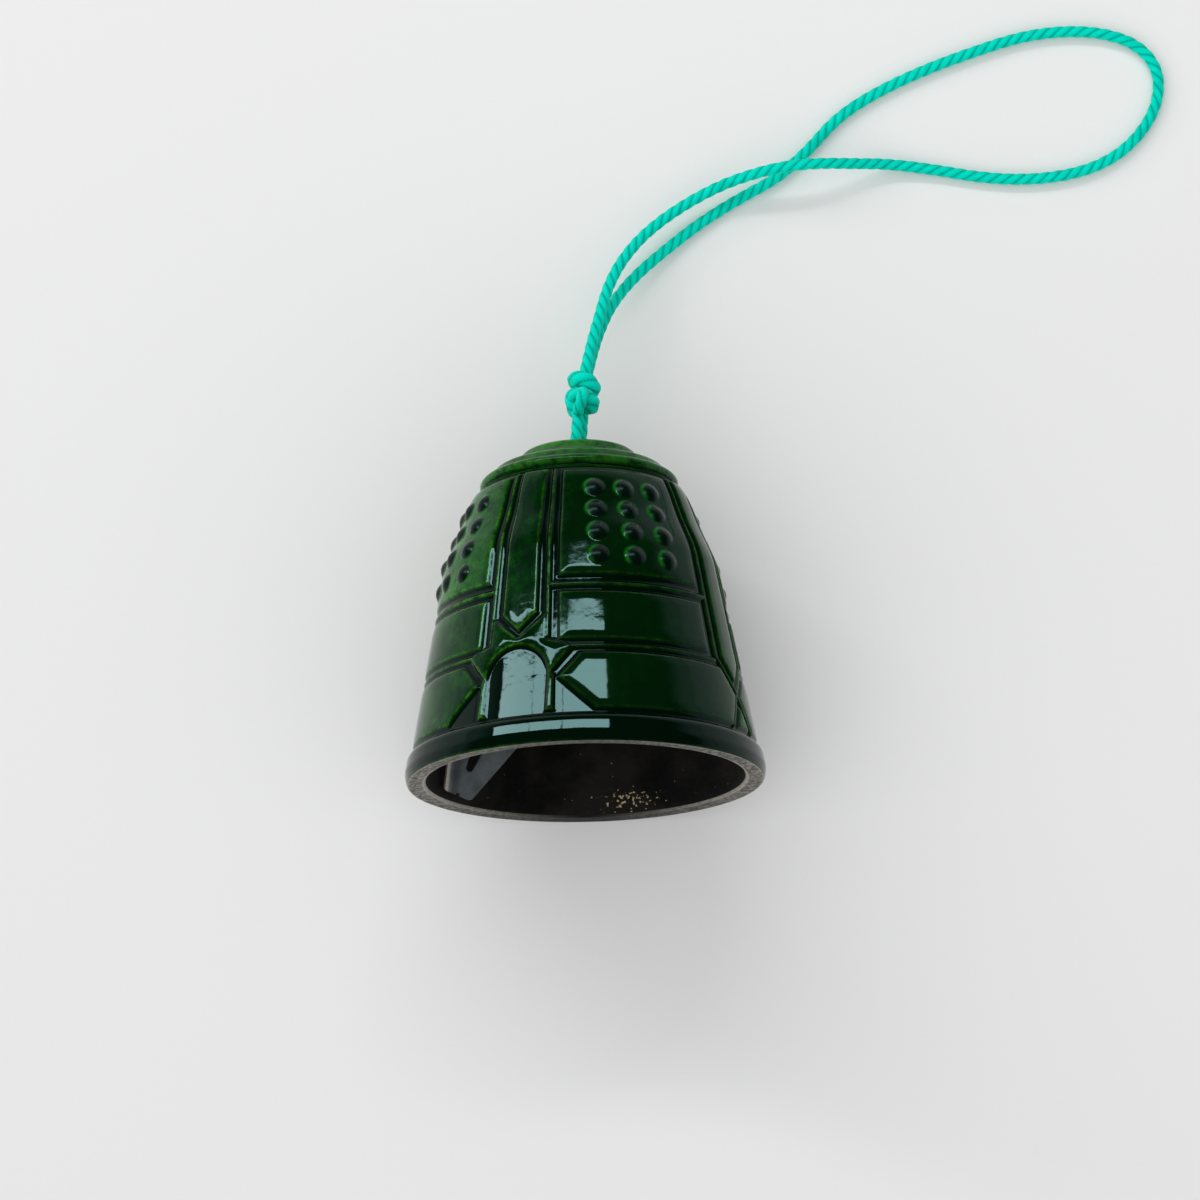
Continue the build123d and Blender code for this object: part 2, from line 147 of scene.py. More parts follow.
# Painted light and shade on the lacquer: which sides are paler, as sines of the angles from the bell's top
# where a side starts and is full
NEAR_LEFT = (-0.05, 0.55)
LEFT_FLANK = (0.45, 0.95)
RIGHT_FLANK = (0.72, 0.97)
crown_foot_mm = 44.0
left_pale_heights_mm = (20.0, 32.0)
LEFT_FOOT_SHARE = 0.28
# Painted light and shade: the lacquer's lowest pale share, smaller towards the foot, and what the near left
# adds
DARK_SIDE_SHARE = 0.16
DARK_FOOT_SHARE = 0.4
NEAR_LEFT_SHARE = 0.45
RIGHT_FLANK_SHARE = 0.20
# Painted light and shade on the rim: full at its sides, dimmer at its top and near black at its bottom
RIM_TOP_SHARE = 0.35
RIM_SIDE_POWER = 1.5
FLAKES_TURN = radians(163.0)
FLAKES_SPREAD = radians(12.0)
flakes_height_mm = 2.6
flakes_depth_mm = 1.7
casting_wave_mm = 0.006
casting_wave_length_mm = 3.5
CASTING_SEED = 11

# Cord: three strands laid into one, and its knots
cord_radius_mm = 0.95
strand_centre_mm = 0.47
strand_round_mm = 0.48
lay_length_mm = 6.0
LAY_DEPTH_SHARE = 0.42
CORD_SIDES = 36
cord_ring_step_mm = 0.3
strand_gap_mm = 0.1
strand_stack_lean = radians(22.0)
knot_half_length_mm = 3.45
knot_end_gap_mm = 0.15
stop_knot_radius_mm = 2.6
seat_gap_mm = 0.1
eye_ring_radius_mm = 2.0
clapper_knot_radius_mm = 1.75

# Route of the hanging loop, from the knot round and back to it, the same points as in the CAD
LOOP_ROUTE = [
    (0.0014, 0.0420, 0.0152), (0.0025, 0.0468, 0.0130), (0.0039, 0.0516, 0.0108), (0.0052, 0.0563, 0.0086),
    (0.0076, 0.0612, 0.0066), (0.0115, 0.0659, 0.0049), (0.0173, 0.0703, 0.0037), (0.0239, 0.0737, 0.0040),
    (0.0294, 0.0753, 0.0052), (0.0345, 0.0763, 0.0059), (0.0402, 0.0767, 0.0059), (0.0457, 0.0769, 0.0040),
    (0.0517, 0.0772, 0.0016), (0.0593, 0.0762, 0.0010), (0.0668, 0.0747, 0.0010), (0.0748, 0.0741, 0.0010),
    (0.0827, 0.0750, 0.0010), (0.0887, 0.0773, 0.0010), (0.0933, 0.0812, 0.0010), (0.0963, 0.0862, 0.0010),
    (0.0968, 0.0917, 0.0010), (0.0938, 0.0961, 0.0010), (0.0880, 0.0984, 0.0010), (0.0810, 0.0989, 0.0010),
    (0.0739, 0.0980, 0.0010), (0.0663, 0.0957, 0.0010), (0.0580, 0.0928, 0.0010), (0.0500, 0.0892, 0.0010),
    (0.0436, 0.0852, 0.0010), (0.0387, 0.0798, 0.0010), (0.0335, 0.0753, 0.0010), (0.0272, 0.0721, 0.0010),
    (0.0207, 0.0682, 0.0010), (0.0147, 0.0636, 0.0015), (0.0095, 0.0590, 0.0030), (0.0060, 0.0544, 0.0056),
    (0.0041, 0.0503, 0.0080), (0.0026, 0.0458, 0.0106), (0.0015, 0.0409, 0.0133),
]
SPLINE_STEPS = 12
# How far from the knot's centre its ends lie inside the knot, as a share of the route's own ends
LOOP_END_SHARE = 0.35
STEEP_SHARE = 0.9

# Sizes that follow from those above
relief_base_mm = torus_height_mm + torus_slope_height_mm
relief_height_mm = shoulder_height_mm - relief_base_mm
body_slope = atan2(base_radius_mm - waist_radius_mm, waist_height_mm - relief_base_mm)
shoulder_run_mm = waist_radius_mm - shoulder_radius_mm
shoulder_rise_mm = shoulder_height_mm - waist_height_mm
shoulder_fall_mm = shoulder_run_mm * cos(body_slope) - shoulder_rise_mm * sin(body_slope)
shoulder_round_mm = (shoulder_run_mm ** 2 + shoulder_rise_mm ** 2) / (2 * shoulder_fall_mm)
shoulder_centre_radius_mm = waist_radius_mm - shoulder_round_mm * cos(body_slope)
shoulder_centre_height_mm = waist_height_mm - shoulder_round_mm * sin(body_slope)
lip_centre_radius_mm = lip_radius_mm - lip_round_mm
face_radius_mm = lip_centre_radius_mm + sqrt(lip_round_mm ** 2 - lip_height_mm ** 2)
bead_height_mm = shoulder_height_mm + groove_height_mm + bead_round_mm
step_foot_height_mm = bead_height_mm + bead_round_mm + step_gap_mm
step_top_height_mm = step_foot_height_mm + step_height_mm
cap_foot_height_mm = step_top_height_mm + cone_height_mm
cap_edge_height_mm = cap_foot_height_mm + cap_height_mm
crown_height_mm = cap_edge_height_mm + cap_bevel_mm
roof_height_mm = crown_height_mm - crown_thickness_mm
stop_knot_height_mm = roof_height_mm - seat_gap_mm - stop_knot_radius_mm


def surface_radius(height_mm):
    """The radius of the ornament's face at a height."""
    if height_mm < waist_height_mm:
        return waist_radius_mm + (waist_height_mm - height_mm) * sin(body_slope) / cos(body_slope)
    rise_mm = height_mm - shoulder_centre_height_mm
    return shoulder_centre_radius_mm + sqrt(shoulder_round_mm ** 2 - rise_mm ** 2)


def surface_slope(height_mm):
    """The angle that the surface's outward normal rises at a height."""
    if height_mm < waist_height_mm:
        return body_slope
    return asin((height_mm - shoulder_centre_height_mm) / shoulder_round_mm)


def under_surface(height_mm, depth_mm):
    """The radius and height straight in from the surface at a height."""
    rise_angle = surface_slope(height_mm)
    return surface_radius(height_mm) - depth_mm * cos(rise_angle), height_mm - depth_mm * sin(rise_angle)


def share_height(share):
    """The height of a share of the ornament's stretch."""
    return relief_base_mm + share * relief_height_mm


# Where the bell lies, from the frame: its axis runs from the mouth's centre towards the crown
record = frame["record"]
mounts = {mount["name"]: mount for mount in record["mounts"]}
joints = {joint["name"]: joint for joint in record["behaviour"]["joints"]}
ACROSS = np.array((1.0, 0.0, 0.0))
ALONG = -np.array(mounts["mouth_rim"]["axis"])
UPWARD = np.cross(ACROSS, ALONG)
rim_middle_mm = (face_radius_mm + under_surface(0, wall_mm)[0]) / 2
MOUTH_CENTRE = np.array(mounts["mouth_rim"]["pos_m"]) - UPWARD * rim_middle_mm * MM


def on_bell(radius_mm, height_mm, angle):
    """Places in the row frame, from radii, heights and angles round the bell's axis."""
    radius = np.asarray(radius_mm * MM)[..., None]
    height = np.asarray(height_mm * MM)[..., None]
    angle = np.asarray(angle)[..., None]
    return MOUTH_CENTRE + height * ALONG + radius * (np.cos(angle) * ACROSS - np.sin(angle) * UPWARD)


def unit(vector):
    """The vector at a length of one."""
    return vector / np.linalg.norm(vector)


# Meshes


def new_object(name, data):
    """An object in the scene for a mesh, curve, light or camera."""
    thing = bpy.data.objects.new(name, data)
    bpy.context.scene.collection.objects.link(thing)
    return thing


def stand(thing, place, right, up, back):
    """Sets an object at a place and turns it to three directions."""
    turned = Matrix(np.stack([right, up, back], axis=1).tolist()).to_4x4()
    thing.matrix_world = Matrix.Translation(place) @ turned


def mesh_piece(name, points, faces, body, materials):
    """A smooth mesh in the row frame that rides on a body."""
    mesh = bpy.data.meshes.new(name)
    mesh.from_pydata(points.tolist(), [], faces)
    mesh.shade_smooth()
    for material in materials:
        mesh.materials.append(material)
    piece = new_object(name, mesh)
    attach(piece, body)
    return piece


def add_values(piece, name, values, kind="FLOAT", field="value"):
    """Keeps a value for each point of a piece, for its material."""
    attribute = piece.data.attributes.new(name, kind, "POINT")
    attribute.data.foreach_set(field, np.asarray(values, dtype=float).ravel())


def grid_faces(rows, columns, closed_rows):
    """The faces of a grid that closes round its columns, and round its rows where asked."""
    row_starts = np.arange(rows if closed_rows else rows - 1)
    row = row_starts[:, None] * columns
    next_row = ((row_starts + 1) % rows)[:, None] * columns
    column = np.arange(columns)[None, :]
    next_column = (column + 1) % columns
    corners = np.stack([row + column, row + next_column, next_row + next_column, next_row + column], axis=-1)
    return corners.reshape(-1, 4)


def smooth_step(values, low, high):
    """0 under low, 1 over high and a smooth rise between them."""
    share = np.clip((values - low) / (high - low), 0.0, 1.0)
    return share * share * (3 - 2 * share)


# Materials

# Depths of fine relief, and distances from the clapper's edge for its painted highlight and the painted dark
# band beside it, in metres
LACQUER_RELIEF = 0.000022
GRAIN_RELIEF = 0.00012
BRUSHED_RELIEF = 0.00003
SHEET_HIGHLIGHT = (0.0003, 0.0008)
DARK_BAND_RISE = (0.0008, 0.0013)
DARK_BAND_FALL = (0.0016, 0.0028)
# How far a place stands out of its blurred surroundings where a pale or a dark line starts and is full
thin_and_lit_ridge_mm = (0.015, 0.120)
dark_groove_mm = (-0.015, -0.075)
rim_highlight_mm = (0.02, 0.09)


def set_inputs(tree, node, inputs):
    """Sets a node's inputs: each is a value, or a socket that it is linked from."""
    for name, value in inputs.items():
        if isinstance(value, bpy.types.NodeSocket):
            tree.links.new(value, node.inputs[name])
        else:
            node.inputs[name].default_value = value


def add_node(tree, kind, inputs=None, **settings):
    """A node with its settings and its inputs."""
    node = tree.nodes.new(f"ShaderNode{kind}")
    for name, value in settings.items():
        setattr(node, name, value)
    set_inputs(tree, node, inputs or {})
    return node


def colour(red, green, blue):
    """A colour with its alpha."""
    return (red, green, blue, 1.0)


def value_of(tree, name):
    """The socket of a number kept on the mesh."""
    return add_node(tree, "Attribute", attribute_name=name).outputs["Fac"]


def vector_of(tree, name):
    """The socket of a vector kept on the mesh."""
    return add_node(tree, "Attribute", attribute_name=name).outputs["Vector"]


def place_of(tree):
    """The socket of the piece's own coordinates, which move with it."""
    return add_node(tree, "TexCoord").outputs["Object"]


def stretched(tree, place, scale):
    """Coordinates scaled along each axis."""
    return add_node(tree, "Mapping", {"Vector": place, "Scale": scale}).outputs["Vector"]


def noise(tree, place, scale, detail=3.0, roughness=0.5):
    """A noise socket."""
    inputs = {"Vector": place, "Scale": scale, "Detail": detail, "Roughness": roughness}
    return add_node(tree, "TexNoise", inputs).outputs["Fac"]


def blend(tree, value, low, high):
    """A socket that rises smoothly from 0 to 1 while a value goes from low to high."""
    inputs = {"Value": value, "From Min": low, "From Max": high}
    return add_node(tree, "MapRange", inputs, interpolation_type="SMOOTHSTEP").outputs["Result"]


def maths(tree, operation, first, second):
    """The result of a sum on two sockets or values."""
    return add_node(tree, "Math", {0: first, 1: second}, operation=operation).outputs[0]


def multiply(tree, first, *others):
    """The product of sockets and values."""
    for other in others:
        first = maths(tree, "MULTIPLY", first, other)
    return first


def between(tree, share, low, high):
    """A socket that goes evenly from low to high while a share goes from 0 to 1."""
    inputs = {"Value": share, "To Min": low, "To Max": high}
    return add_node(tree, "MapRange", inputs).outputs["Result"]


MIX_FACTOR = 0
MIX_FIRST = 6
MIX_SECOND = 7
MIX_RESULT = 2


def mix(tree, share, first, second):
    """A colour between two colours."""
    inputs = {MIX_FACTOR: share, MIX_FIRST: first, MIX_SECOND: second}
    return add_node(tree, "Mix", inputs, data_type="RGBA").outputs[MIX_RESULT]


def bump(tree, height, distance, strength=1.0):
    """A normal socket for fine relief of a height in metres."""
    inputs = {"Height": height, "Distance": distance, "Strength": strength}
    return add_node(tree, "Bump", inputs).outputs["Normal"]


def new_material(name):
    """An empty node material, its tree and its principled shader."""
    material = bpy.data.materials.new(name)
    material.use_nodes = True
    tree = material.node_tree
    return material, tree, tree.nodes["Principled BSDF"]


def lacquer_material():
    """Green lacquer over dark iron: nearly black where it pools, with painted light that makes the flanks,
    crown and near left paler, painted shade towards the foot, painted lit crescents beside the studs, and
    pale ridge lines that are partly thinner lacquer and partly painted highlight.
    """
    material, tree, shader = new_material("green_lacquer")
    place = place_of(tree)
    names = ("ridge", "raised", "stud_top", "crescent", "painted_side_light", "pale")
    ridge, raised, stud_top, crescent, painted_side_light, pale = [value_of(tree, name) for name in names]
    cloud = noise(tree, place, 150.0, 3.0, 0.55)
    mottle = noise(tree, place, 620.0, 4.0, 0.65)
    grain = noise(tree, place, 2300.0, 3.0, 0.6)
    pooled = colour(0.0005, 0.0050, 0.0020)
    field = colour(0.0008, 0.0110, 0.0020)
    leaf = colour(0.0050, 0.1250, 0.0060)
    olive = colour(0.0300, 0.1900, 0.0150)
    thin_and_lit = colour(0.0800, 0.3400, 0.0140)
    # Painted light: the leaf-green share follows the painted side light as well as the mottling
    light_share = multiply(tree, blend(tree, cloud, 0.35, 0.70), blend(tree, mottle, 0.25, 0.80),
                           blend(tree, grain, 0.10, 0.80), painted_side_light)
    tone = mix(tree, light_share, field, leaf)
    # Painted light: the flanks and crown are washed paler towards olive
    painted_pale_share = multiply(tree, pale, blend(tree, mottle, 0.20, 0.65))
    tone = mix(tree, painted_pale_share, tone, mix(tree, blend(tree, cloud, 0.35, 0.65), leaf, olive))
    tone = mix(tree, raised, pooled, tone)
    # Pale lines along ridges, partly thinner lacquer and partly painted highlight, stronger on the painted
    # lit sides
    line = multiply(tree, blend(tree, mottle, 0.30, 0.70), blend(tree, grain, 0.15, 0.70), painted_side_light,
                    blend(tree, ridge, *thin_and_lit_ridge_mm))
    tone = mix(tree, line, tone, thin_and_lit)
    tone = mix(tree, stud_top, tone, pooled)
    # Painted light: a lit crescent on the left of each stud's foot
    tone = mix(tree, multiply(tree, crescent, blend(tree, grain, 0.1, 0.6)), tone, leaf)
    tone = mix(tree, blend(tree, ridge, *dark_groove_mm), tone, pooled)
    orange_peel = noise(tree, place, 330.0, 2.0, 0.5)
    unevenness = maths(tree, "ADD", orange_peel, multiply(tree, mottle, 0.20))
    satin = between(tree, multiply(tree, raised, blend(tree, cloud, 0.2, 0.6)), 0.04, 0.06)
    satin = maths(tree, "MAXIMUM", satin, multiply(tree, stud_top, 0.28))
    set_inputs(tree, shader, {
        "Base Color": tone,
        "Roughness": satin,
        "IOR": 1.25,
        "Specular IOR Level": 0.5,
        "Specular Tint": colour(0.50, 0.95, 0.95),
        "Normal": bump(tree, unevenness, LACQUER_RELIEF),
    })
    return material


def rim_material():
    """Bare cast rim, pale and speckled, with lacquer left in its pits, a painted highlight along its outer
    edge, and painted shade that makes it near black towards its bottom and dimmer at its top.
    """
    material, tree, shader = new_material("bare_rim")
    place = place_of(tree)
    grain = noise(tree, place, 1300.0, 5.0, 0.65)
    patches = noise(tree, place, 260.0, 3.0, 0.6)
    edge = value_of(tree, "ridge")
    dark = colour(0.035, 0.036, 0.028)
    pale = colour(0.25, 0.24, 0.205)
    rust = colour(0.09, 0.08, 0.055)
    painted_edge_highlight = colour(0.46, 0.44, 0.37)
    tone = mix(tree, blend(tree, grain, 0.40, 0.62), dark, pale)
    tone = mix(tree, multiply(tree, blend(tree, patches, 0.5, 0.75), 0.6), tone, rust)
    # Painted highlight along the rim's outer edge
    tone = mix(tree, multiply(tree, blend(tree, edge, *rim_highlight_mm), 0.5), tone, painted_edge_highlight)
    # Painted shade: the rim goes near black towards its bottom and dimmer at its top
    tone = mix(tree, value_of(tree, "rim_painted_light"), colour(0.006, 0.007, 0.006), tone)
    set_inputs(tree, shader, {
        "Base Color": tone,
        "Roughness": 0.55,
        "Specular IOR Level": 0.2,
        "Normal": bump(tree, grain, GRAIN_RELIEF),
    })
    return material


def inside_material():
    """Bare dark iron inside, cloudy and matt, with golden specks."""
    material, tree, shader = new_material("dark_inside")
    place = place_of(tree)
    cloud = noise(tree, place, 130.0, 4.0, 0.6)
    grain = noise(tree, place, 1000.0, 4.0, 0.6)
    speck = noise(tree, place, 1900.0, 1.0, 0.5)
    dark = colour(0.0040, 0.0038, 0.0036)
    brown = colour(0.0150, 0.0130, 0.0110)
    gold = colour(0.42, 0.35, 0.20)
    tone = mix(tree, blend(tree, cloud, 0.35, 0.7), dark, brown)
    flakes = value_of(tree, "flakes")
    tone = mix(tree, multiply(tree, flakes, blend(tree, grain, 0.35, 0.7)), tone, brown)
    dense = maths(tree, "SUBTRACT", 0.78, multiply(tree, flakes, 0.26))
    found = multiply(tree, maths(tree, "SUBTRACT", speck, dense), 25.0)
    tone = mix(tree, blend(tree, found, 0.0, 1.0), tone, gold)
    set_inputs(tree, shader, {
        "Base Color": tone,
        "Roughness": 0.7,
        "Specular IOR Level": 0.15,
        "Normal": bump(tree, grain, GRAIN_RELIEF),
    })
    return material


def cord_material():
    """Turquoise yarn: pale with painted light on the strands' backs, darker with painted shade in the lay,
    with fine fibres along the cord.
    """
    material, tree, shader = new_material("turquoise_yarn")
    place = vector_of(tree, "fibre")
    deep = value_of(tree, "deep")
    fibres = noise(tree, stretched(tree, place, (9.0, 0.9, 3.0)), 1.0, 3.0, 0.55)
    uneven = noise(tree, place_of(tree), 300.0, 2.0, 0.5)
    shade = colour(0.000, 0.360, 0.280)
    middle = colour(0.000, 0.740, 0.550)
    bright = colour(0.000, 0.880, 0.720)
    # Painted shade in the lay and painted light on the strands' backs
    tone = mix(tree, blend(tree, deep, 0.0, 0.55), shade, middle)
    tone = mix(tree, multiply(tree, blend(tree, deep, 0.55, 1.0), fibres), tone, bright)
    tone = mix(tree, multiply(tree, blend(tree, uneven, 0.5, 0.8), 0.3), tone, shade)
    set_inputs(tree, shader, {
        "Base Color": tone,
        "Roughness": 0.6,
        "Specular IOR Level": 0.15,
        "Specular Tint": colour(0.02, 1.0, 0.9),
        "Sheen Weight": 0.08,
        "Sheen Roughness": 0.4,
        "Sheen Tint": colour(0.05, 1.0, 0.85),
        "Normal": bump(tree, fibres, GRAIN_RELIEF),
    })
    return material


def sheet_material(edge_start, edge_inward):
    """Satin grey sheet metal, faintly brushed and stained, with a painted highlight along one edge and a
    painted dark band of reflection just inside it.
    """
    material, tree, shader = new_material("satin_sheet")
    place = place_of(tree)
    from_edge = add_node(tree, "VectorMath", {0: place, 1: edge_start}, operation="SUBTRACT")
    inputs = {0: from_edge.outputs[0], 1: edge_inward}
    inward = add_node(tree, "VectorMath", inputs, operation="DOT_PRODUCT").outputs["Value"]
    # Painted reflection: a dark band just inside the edge
    painted_dark_band = maths(tree, "SUBTRACT", blend(tree, inward, *DARK_BAND_RISE),
                     blend(tree, inward, *DARK_BAND_FALL))
    # Painted highlight along the edge, where the metal is also made less metallic
    painted_edge_highlight = maths(tree, "SUBTRACT", 1.0, blend(tree, inward, *SHEET_HIGHLIGHT))
    brushed = noise(tree, stretched(tree, place, (900.0, 160.0, 900.0)), 1.0, 4.0, 0.6)
    stain = noise(tree, place, 240.0, 3.0, 0.6)
    pale = colour(0.46, 0.52, 0.55)
    dull = colour(0.26, 0.31, 0.33)
    tone = mix(tree, blend(tree, stain, 0.35, 0.75), pale, dull)
    tone = mix(tree, multiply(tree, painted_dark_band, 0.6), tone, colour(0.10, 0.12, 0.13))
    tone = mix(tree, painted_edge_highlight, tone, colour(0.52, 0.48, 0.42))
    inputs = {0: brushed, 1: 0.25, 2: 0.28}
    rough = add_node(tree, "Math", inputs, operation="MULTIPLY_ADD").outputs[0]
    set_inputs(tree, shader, {
        "Base Color": tone,
        "Metallic": maths(tree, "SUBTRACT", 0.85, multiply(tree, painted_edge_highlight, 0.6)),
        "Roughness": rough,
        "Normal": bump(tree, brushed, BRUSHED_RELIEF),
    })
    return material


yarn = cord_material()

# Camera


def place_camera():
    """The camera at the photograph's angle."""
    back = np.array((
        sin(CAMERA_AZIMUTH) * cos(CAMERA_ELEVATION),
        -cos(CAMERA_AZIMUTH) * cos(CAMERA_ELEVATION),
        sin(CAMERA_ELEVATION),
    ))
    right = np.array((cos(CAMERA_AZIMUTH), sin(CAMERA_AZIMUTH), 0.0))
    up = np.cross(back, right)
    data = bpy.data.cameras.new("camera")
    data.lens = CAMERA_LENS_MM
    data.sensor_width = CAMERA_SENSOR_MM
    camera = new_object("camera", data)
    stand(camera, CAMERA_LOOKS_AT + back * CAMERA_DISTANCE, right, up, back)
    bpy.context.scene.camera = camera


place_camera()

# Cord


def spline_line(route):
    """Points along the smooth line that a route's points control, in metres."""
    curve = bpy.data.curves.new("route", "CURVE")
    curve.dimensions = "3D"
    curve.resolution_u = SPLINE_STEPS
    spline = curve.splines.new("NURBS")
    spline.points.add(len(route) - 1)
    for control, point in zip(spline.points, route):
        control.co = (*point, 1.0)
    spline.order_u = 3
    spline.use_endpoint_u = True
    holder = new_object("route", curve)
    mesh = bpy.data.meshes.new_from_object(holder)
    line = np.array([vertex.co[:] for vertex in mesh.vertices])
    bpy.data.objects.remove(holder)
    bpy.data.curves.remove(curve)
    bpy.data.meshes.remove(mesh)
    return line


def evenly_spaced(line, step):
    """The line with evenly spaced points, and each point's distance from its start."""
    gaps = np.linalg.norm(np.diff(line, axis=0), axis=1)
    distances = np.concatenate([[0.0], np.cumsum(gaps)])
    count = max(2, int(round(distances[-1] / step)) + 1)
    wanted = np.linspace(0.0, distances[-1], count)
    points = np.stack([np.interp(wanted, distances, line[:, axis]) for axis in range(3)], axis=1)
    return points, wanted


def carried_frames(points):
    """For each point of a line, two directions square to it that turn as little as they can."""
    tangents = np.gradient(points, axis=0)
    tangents /= np.linalg.norm(tangents, axis=1)[:, None]
    guide = STRAIGHT_UP if abs(tangents[0][2]) < STEEP_SHARE else ACROSS
    sides = []
    side = unit(np.cross(tangents[0], guide))
    for tangent in tangents:
        side = unit(side - tangent * np.dot(side, tangent))
        sides.append(side)
    sides = np.array(sides)
    return sides, np.cross(tangents, sides)


def laid_cord(name, line, body, thickness=1.0, start_turn=0.0):
    """A three-strand cord along a line: each strand is a rounded ridge that winds round the cord."""
    points, distances = evenly_spaced(line, cord_ring_step_mm * MM)
    sides, ups = carried_frames(points)
    around = np.arange(CORD_SIDES) / CORD_SIDES * FULL_TURN
    turn = -FULL_TURN * distances / (lay_length_mm * MM) + start_turn
    third = FULL_TURN / 3
    off_ridge = (around[None, :] - turn[:, None] + third / 2) % third - third / 2
    ridge_number = np.floor((around[None, :] - turn[:, None] + third / 2) / third) % 3
    reach_mm = strand_centre_mm * np.cos(off_ridge)
    reach_mm += np.sqrt(strand_round_mm ** 2 - (strand_centre_mm * np.sin(off_ridge)) ** 2)
    reach_mm = cord_radius_mm - (cord_radius_mm - reach_mm) * LAY_DEPTH_SHARE
    radius = reach_mm * MM * thickness
    turned_round = np.broadcast_to(around, radius.shape)[..., None]
    rings = points[:, None, :] + radius[..., None] * (
        np.cos(turned_round) * sides[:, None, :] + np.sin(turned_round) * ups[:, None, :]
    )
    ring_count = len(points)
    vertices = np.concatenate([rings.reshape(-1, 3), points[:1], points[-1:]])
    faces = grid_faces(ring_count, CORD_SIDES, False).tolist()
    first_centre = ring_count * CORD_SIDES
    last_start = (ring_count - 1) * CORD_SIDES
    for column in range(CORD_SIDES):
        next_column = (column + 1) % CORD_SIDES
        faces.append((next_column, column, first_centre))
        faces.append((last_start + column, last_start + next_column, first_centre + 1))
    piece = mesh_piece(name, vertices, faces, body, [yarn])
    strand_turn = np.arctan2(reach_mm * np.sin(off_ridge), reach_mm * np.cos(off_ridge) - strand_centre_mm)
    along_mm = np.broadcast_to(distances[:, None] / MM, radius.shape)
    fibre = np.stack([strand_turn * strand_round_mm, along_mm, ridge_number], axis=-1).reshape(-1, 3)
    fibre = np.concatenate([fibre, np.zeros((2, 3))])
    shallow_mm = reach_mm.min()
    deep = (reach_mm - shallow_mm) / (reach_mm.max() - shallow_mm)
    add_values(piece, "fibre", fibre, "FLOAT_VECTOR", "vector")
    add_values(piece, "deep", np.concatenate([deep.ravel(), np.zeros(2)]))
    return piece


def stacked_steps(direction):
    """The steps from the middle of a pair of stacked strands to each strand."""
    sideways = unit(np.cross(direction, STRAIGHT_UP))
    upright = np.cross(sideways, direction)
    stack = upright * cos(strand_stack_lean) - sideways * sin(strand_stack_lean)
    half_step = (cord_radius_mm + strand_gap_mm / 2) * MM
    return (stack * half_step, stack * -half_step)


def build_hanging_loop():
    """The free loop, from the knot round and back to it.

    Its ends reach into the knot, and stay there as it lifts.
    """
    line = spline_line(LOOP_ROUTE)
    first_end, last_end = [KNOT_CENTRE + (line[end] - KNOT_CENTRE) * LOOP_END_SHARE for end in (0, -1)]
    loop = laid_cord("loop_of_cord", np.concatenate([[first_end], line, [last_end]]), "loop")
    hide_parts("hanging_loop")


first_run = unit(np.subtract(LOOP_ROUTE[1], LOOP_ROUTE[0]))
last_run = unit(np.subtract(LOOP_ROUTE[-2], LOOP_ROUTE[-1]))
KNOT_ALONG = unit(first_run + last_run)
KNOT_CENTRE = np.array(joints["loop_lift"]["pos_m"])
KNOT_OUT = unit(STRAIGHT_UP - KNOT_ALONG * np.dot(STRAIGHT_UP, KNOT_ALONG))
KNOT_SIDE = np.cross(KNOT_ALONG, KNOT_OUT)
NECK_PIVOT = np.array(joints["cord_swing"]["pos_m"])
NECK_ALONG = unit(KNOT_CENTRE - NECK_PIVOT)

# Knot: its places are (sideways, out, along) in millimetres from its centre
knot_wrap_radius_mm = 1.7
knot_wrap_thickness = 1.4
knot_wrap_pitch_mm = 3.1
knot_wrap_turns = 2.0
knot_wrap_points = 8
knot_wrap_start = pi
knot_wrap_slant_mm = 0.3
knot_lower_shift_mm = 0.4
KNOT_IN_MM = [(0.3, -0.6, -3.6), (-0.6, -0.9, -3.0)]
KNOT_OUT_MM = [(0.0, 0.0, 1.2)]
KNOT_BAND_MM = [
    (0.1, 0.9, -4.4), (0.2, 2.0, -3.9), (0.3, 3.1, -3.2),
    (0.4, 3.4, -2.4), (0.3, 2.8, -1.6), (0.1, 1.4, -1.0),
]


def knot_places(places_mm, centre, size=1.0):
    """Places of the knot in the row frame."""
    steps = np.array(places_mm) * MM * size
    return centre + steps[:, :1] * KNOT_SIDE + steps[:, 1:2] * KNOT_OUT + steps[:, 2:] * KNOT_ALONG


def wrap_places():
    """The knot's two wraps round its own line: the cord crosses from one to the other behind it."""
    places = []
    count = int(knot_wrap_turns * knot_wrap_points)
    for index in range(count + 1):
        turns = index / knot_wrap_points
        angle = knot_wrap_start + turns * FULL_TURN
        crossed = smooth_step(turns, knot_wrap_turns / 2, knot_wrap_turns * 3 / 4)
        along = (crossed - 1 / 2) * knot_wrap_pitch_mm - knot_wrap_slant_mm * cos(angle)
        sideways = knot_wrap_radius_mm * cos(angle) + knot_lower_shift_mm * (1 - crossed)
        places.append((sideways, knot_wrap_radius_mm * sin(angle), along))
    return places


def build_knot():
    """The knot in both strands of the hanging cord."""
    line = spline_line(knot_places(KNOT_IN_MM + wrap_places() + KNOT_OUT_MM, KNOT_CENTRE))
    wraps = laid_cord("knot_wraps", line, "cord_neck", thickness=knot_wrap_thickness)
    laid_cord("knot_band", spline_line(knot_places(KNOT_BAND_MM, KNOT_CENTRE)), "cord_neck")
    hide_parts("loop_knot")


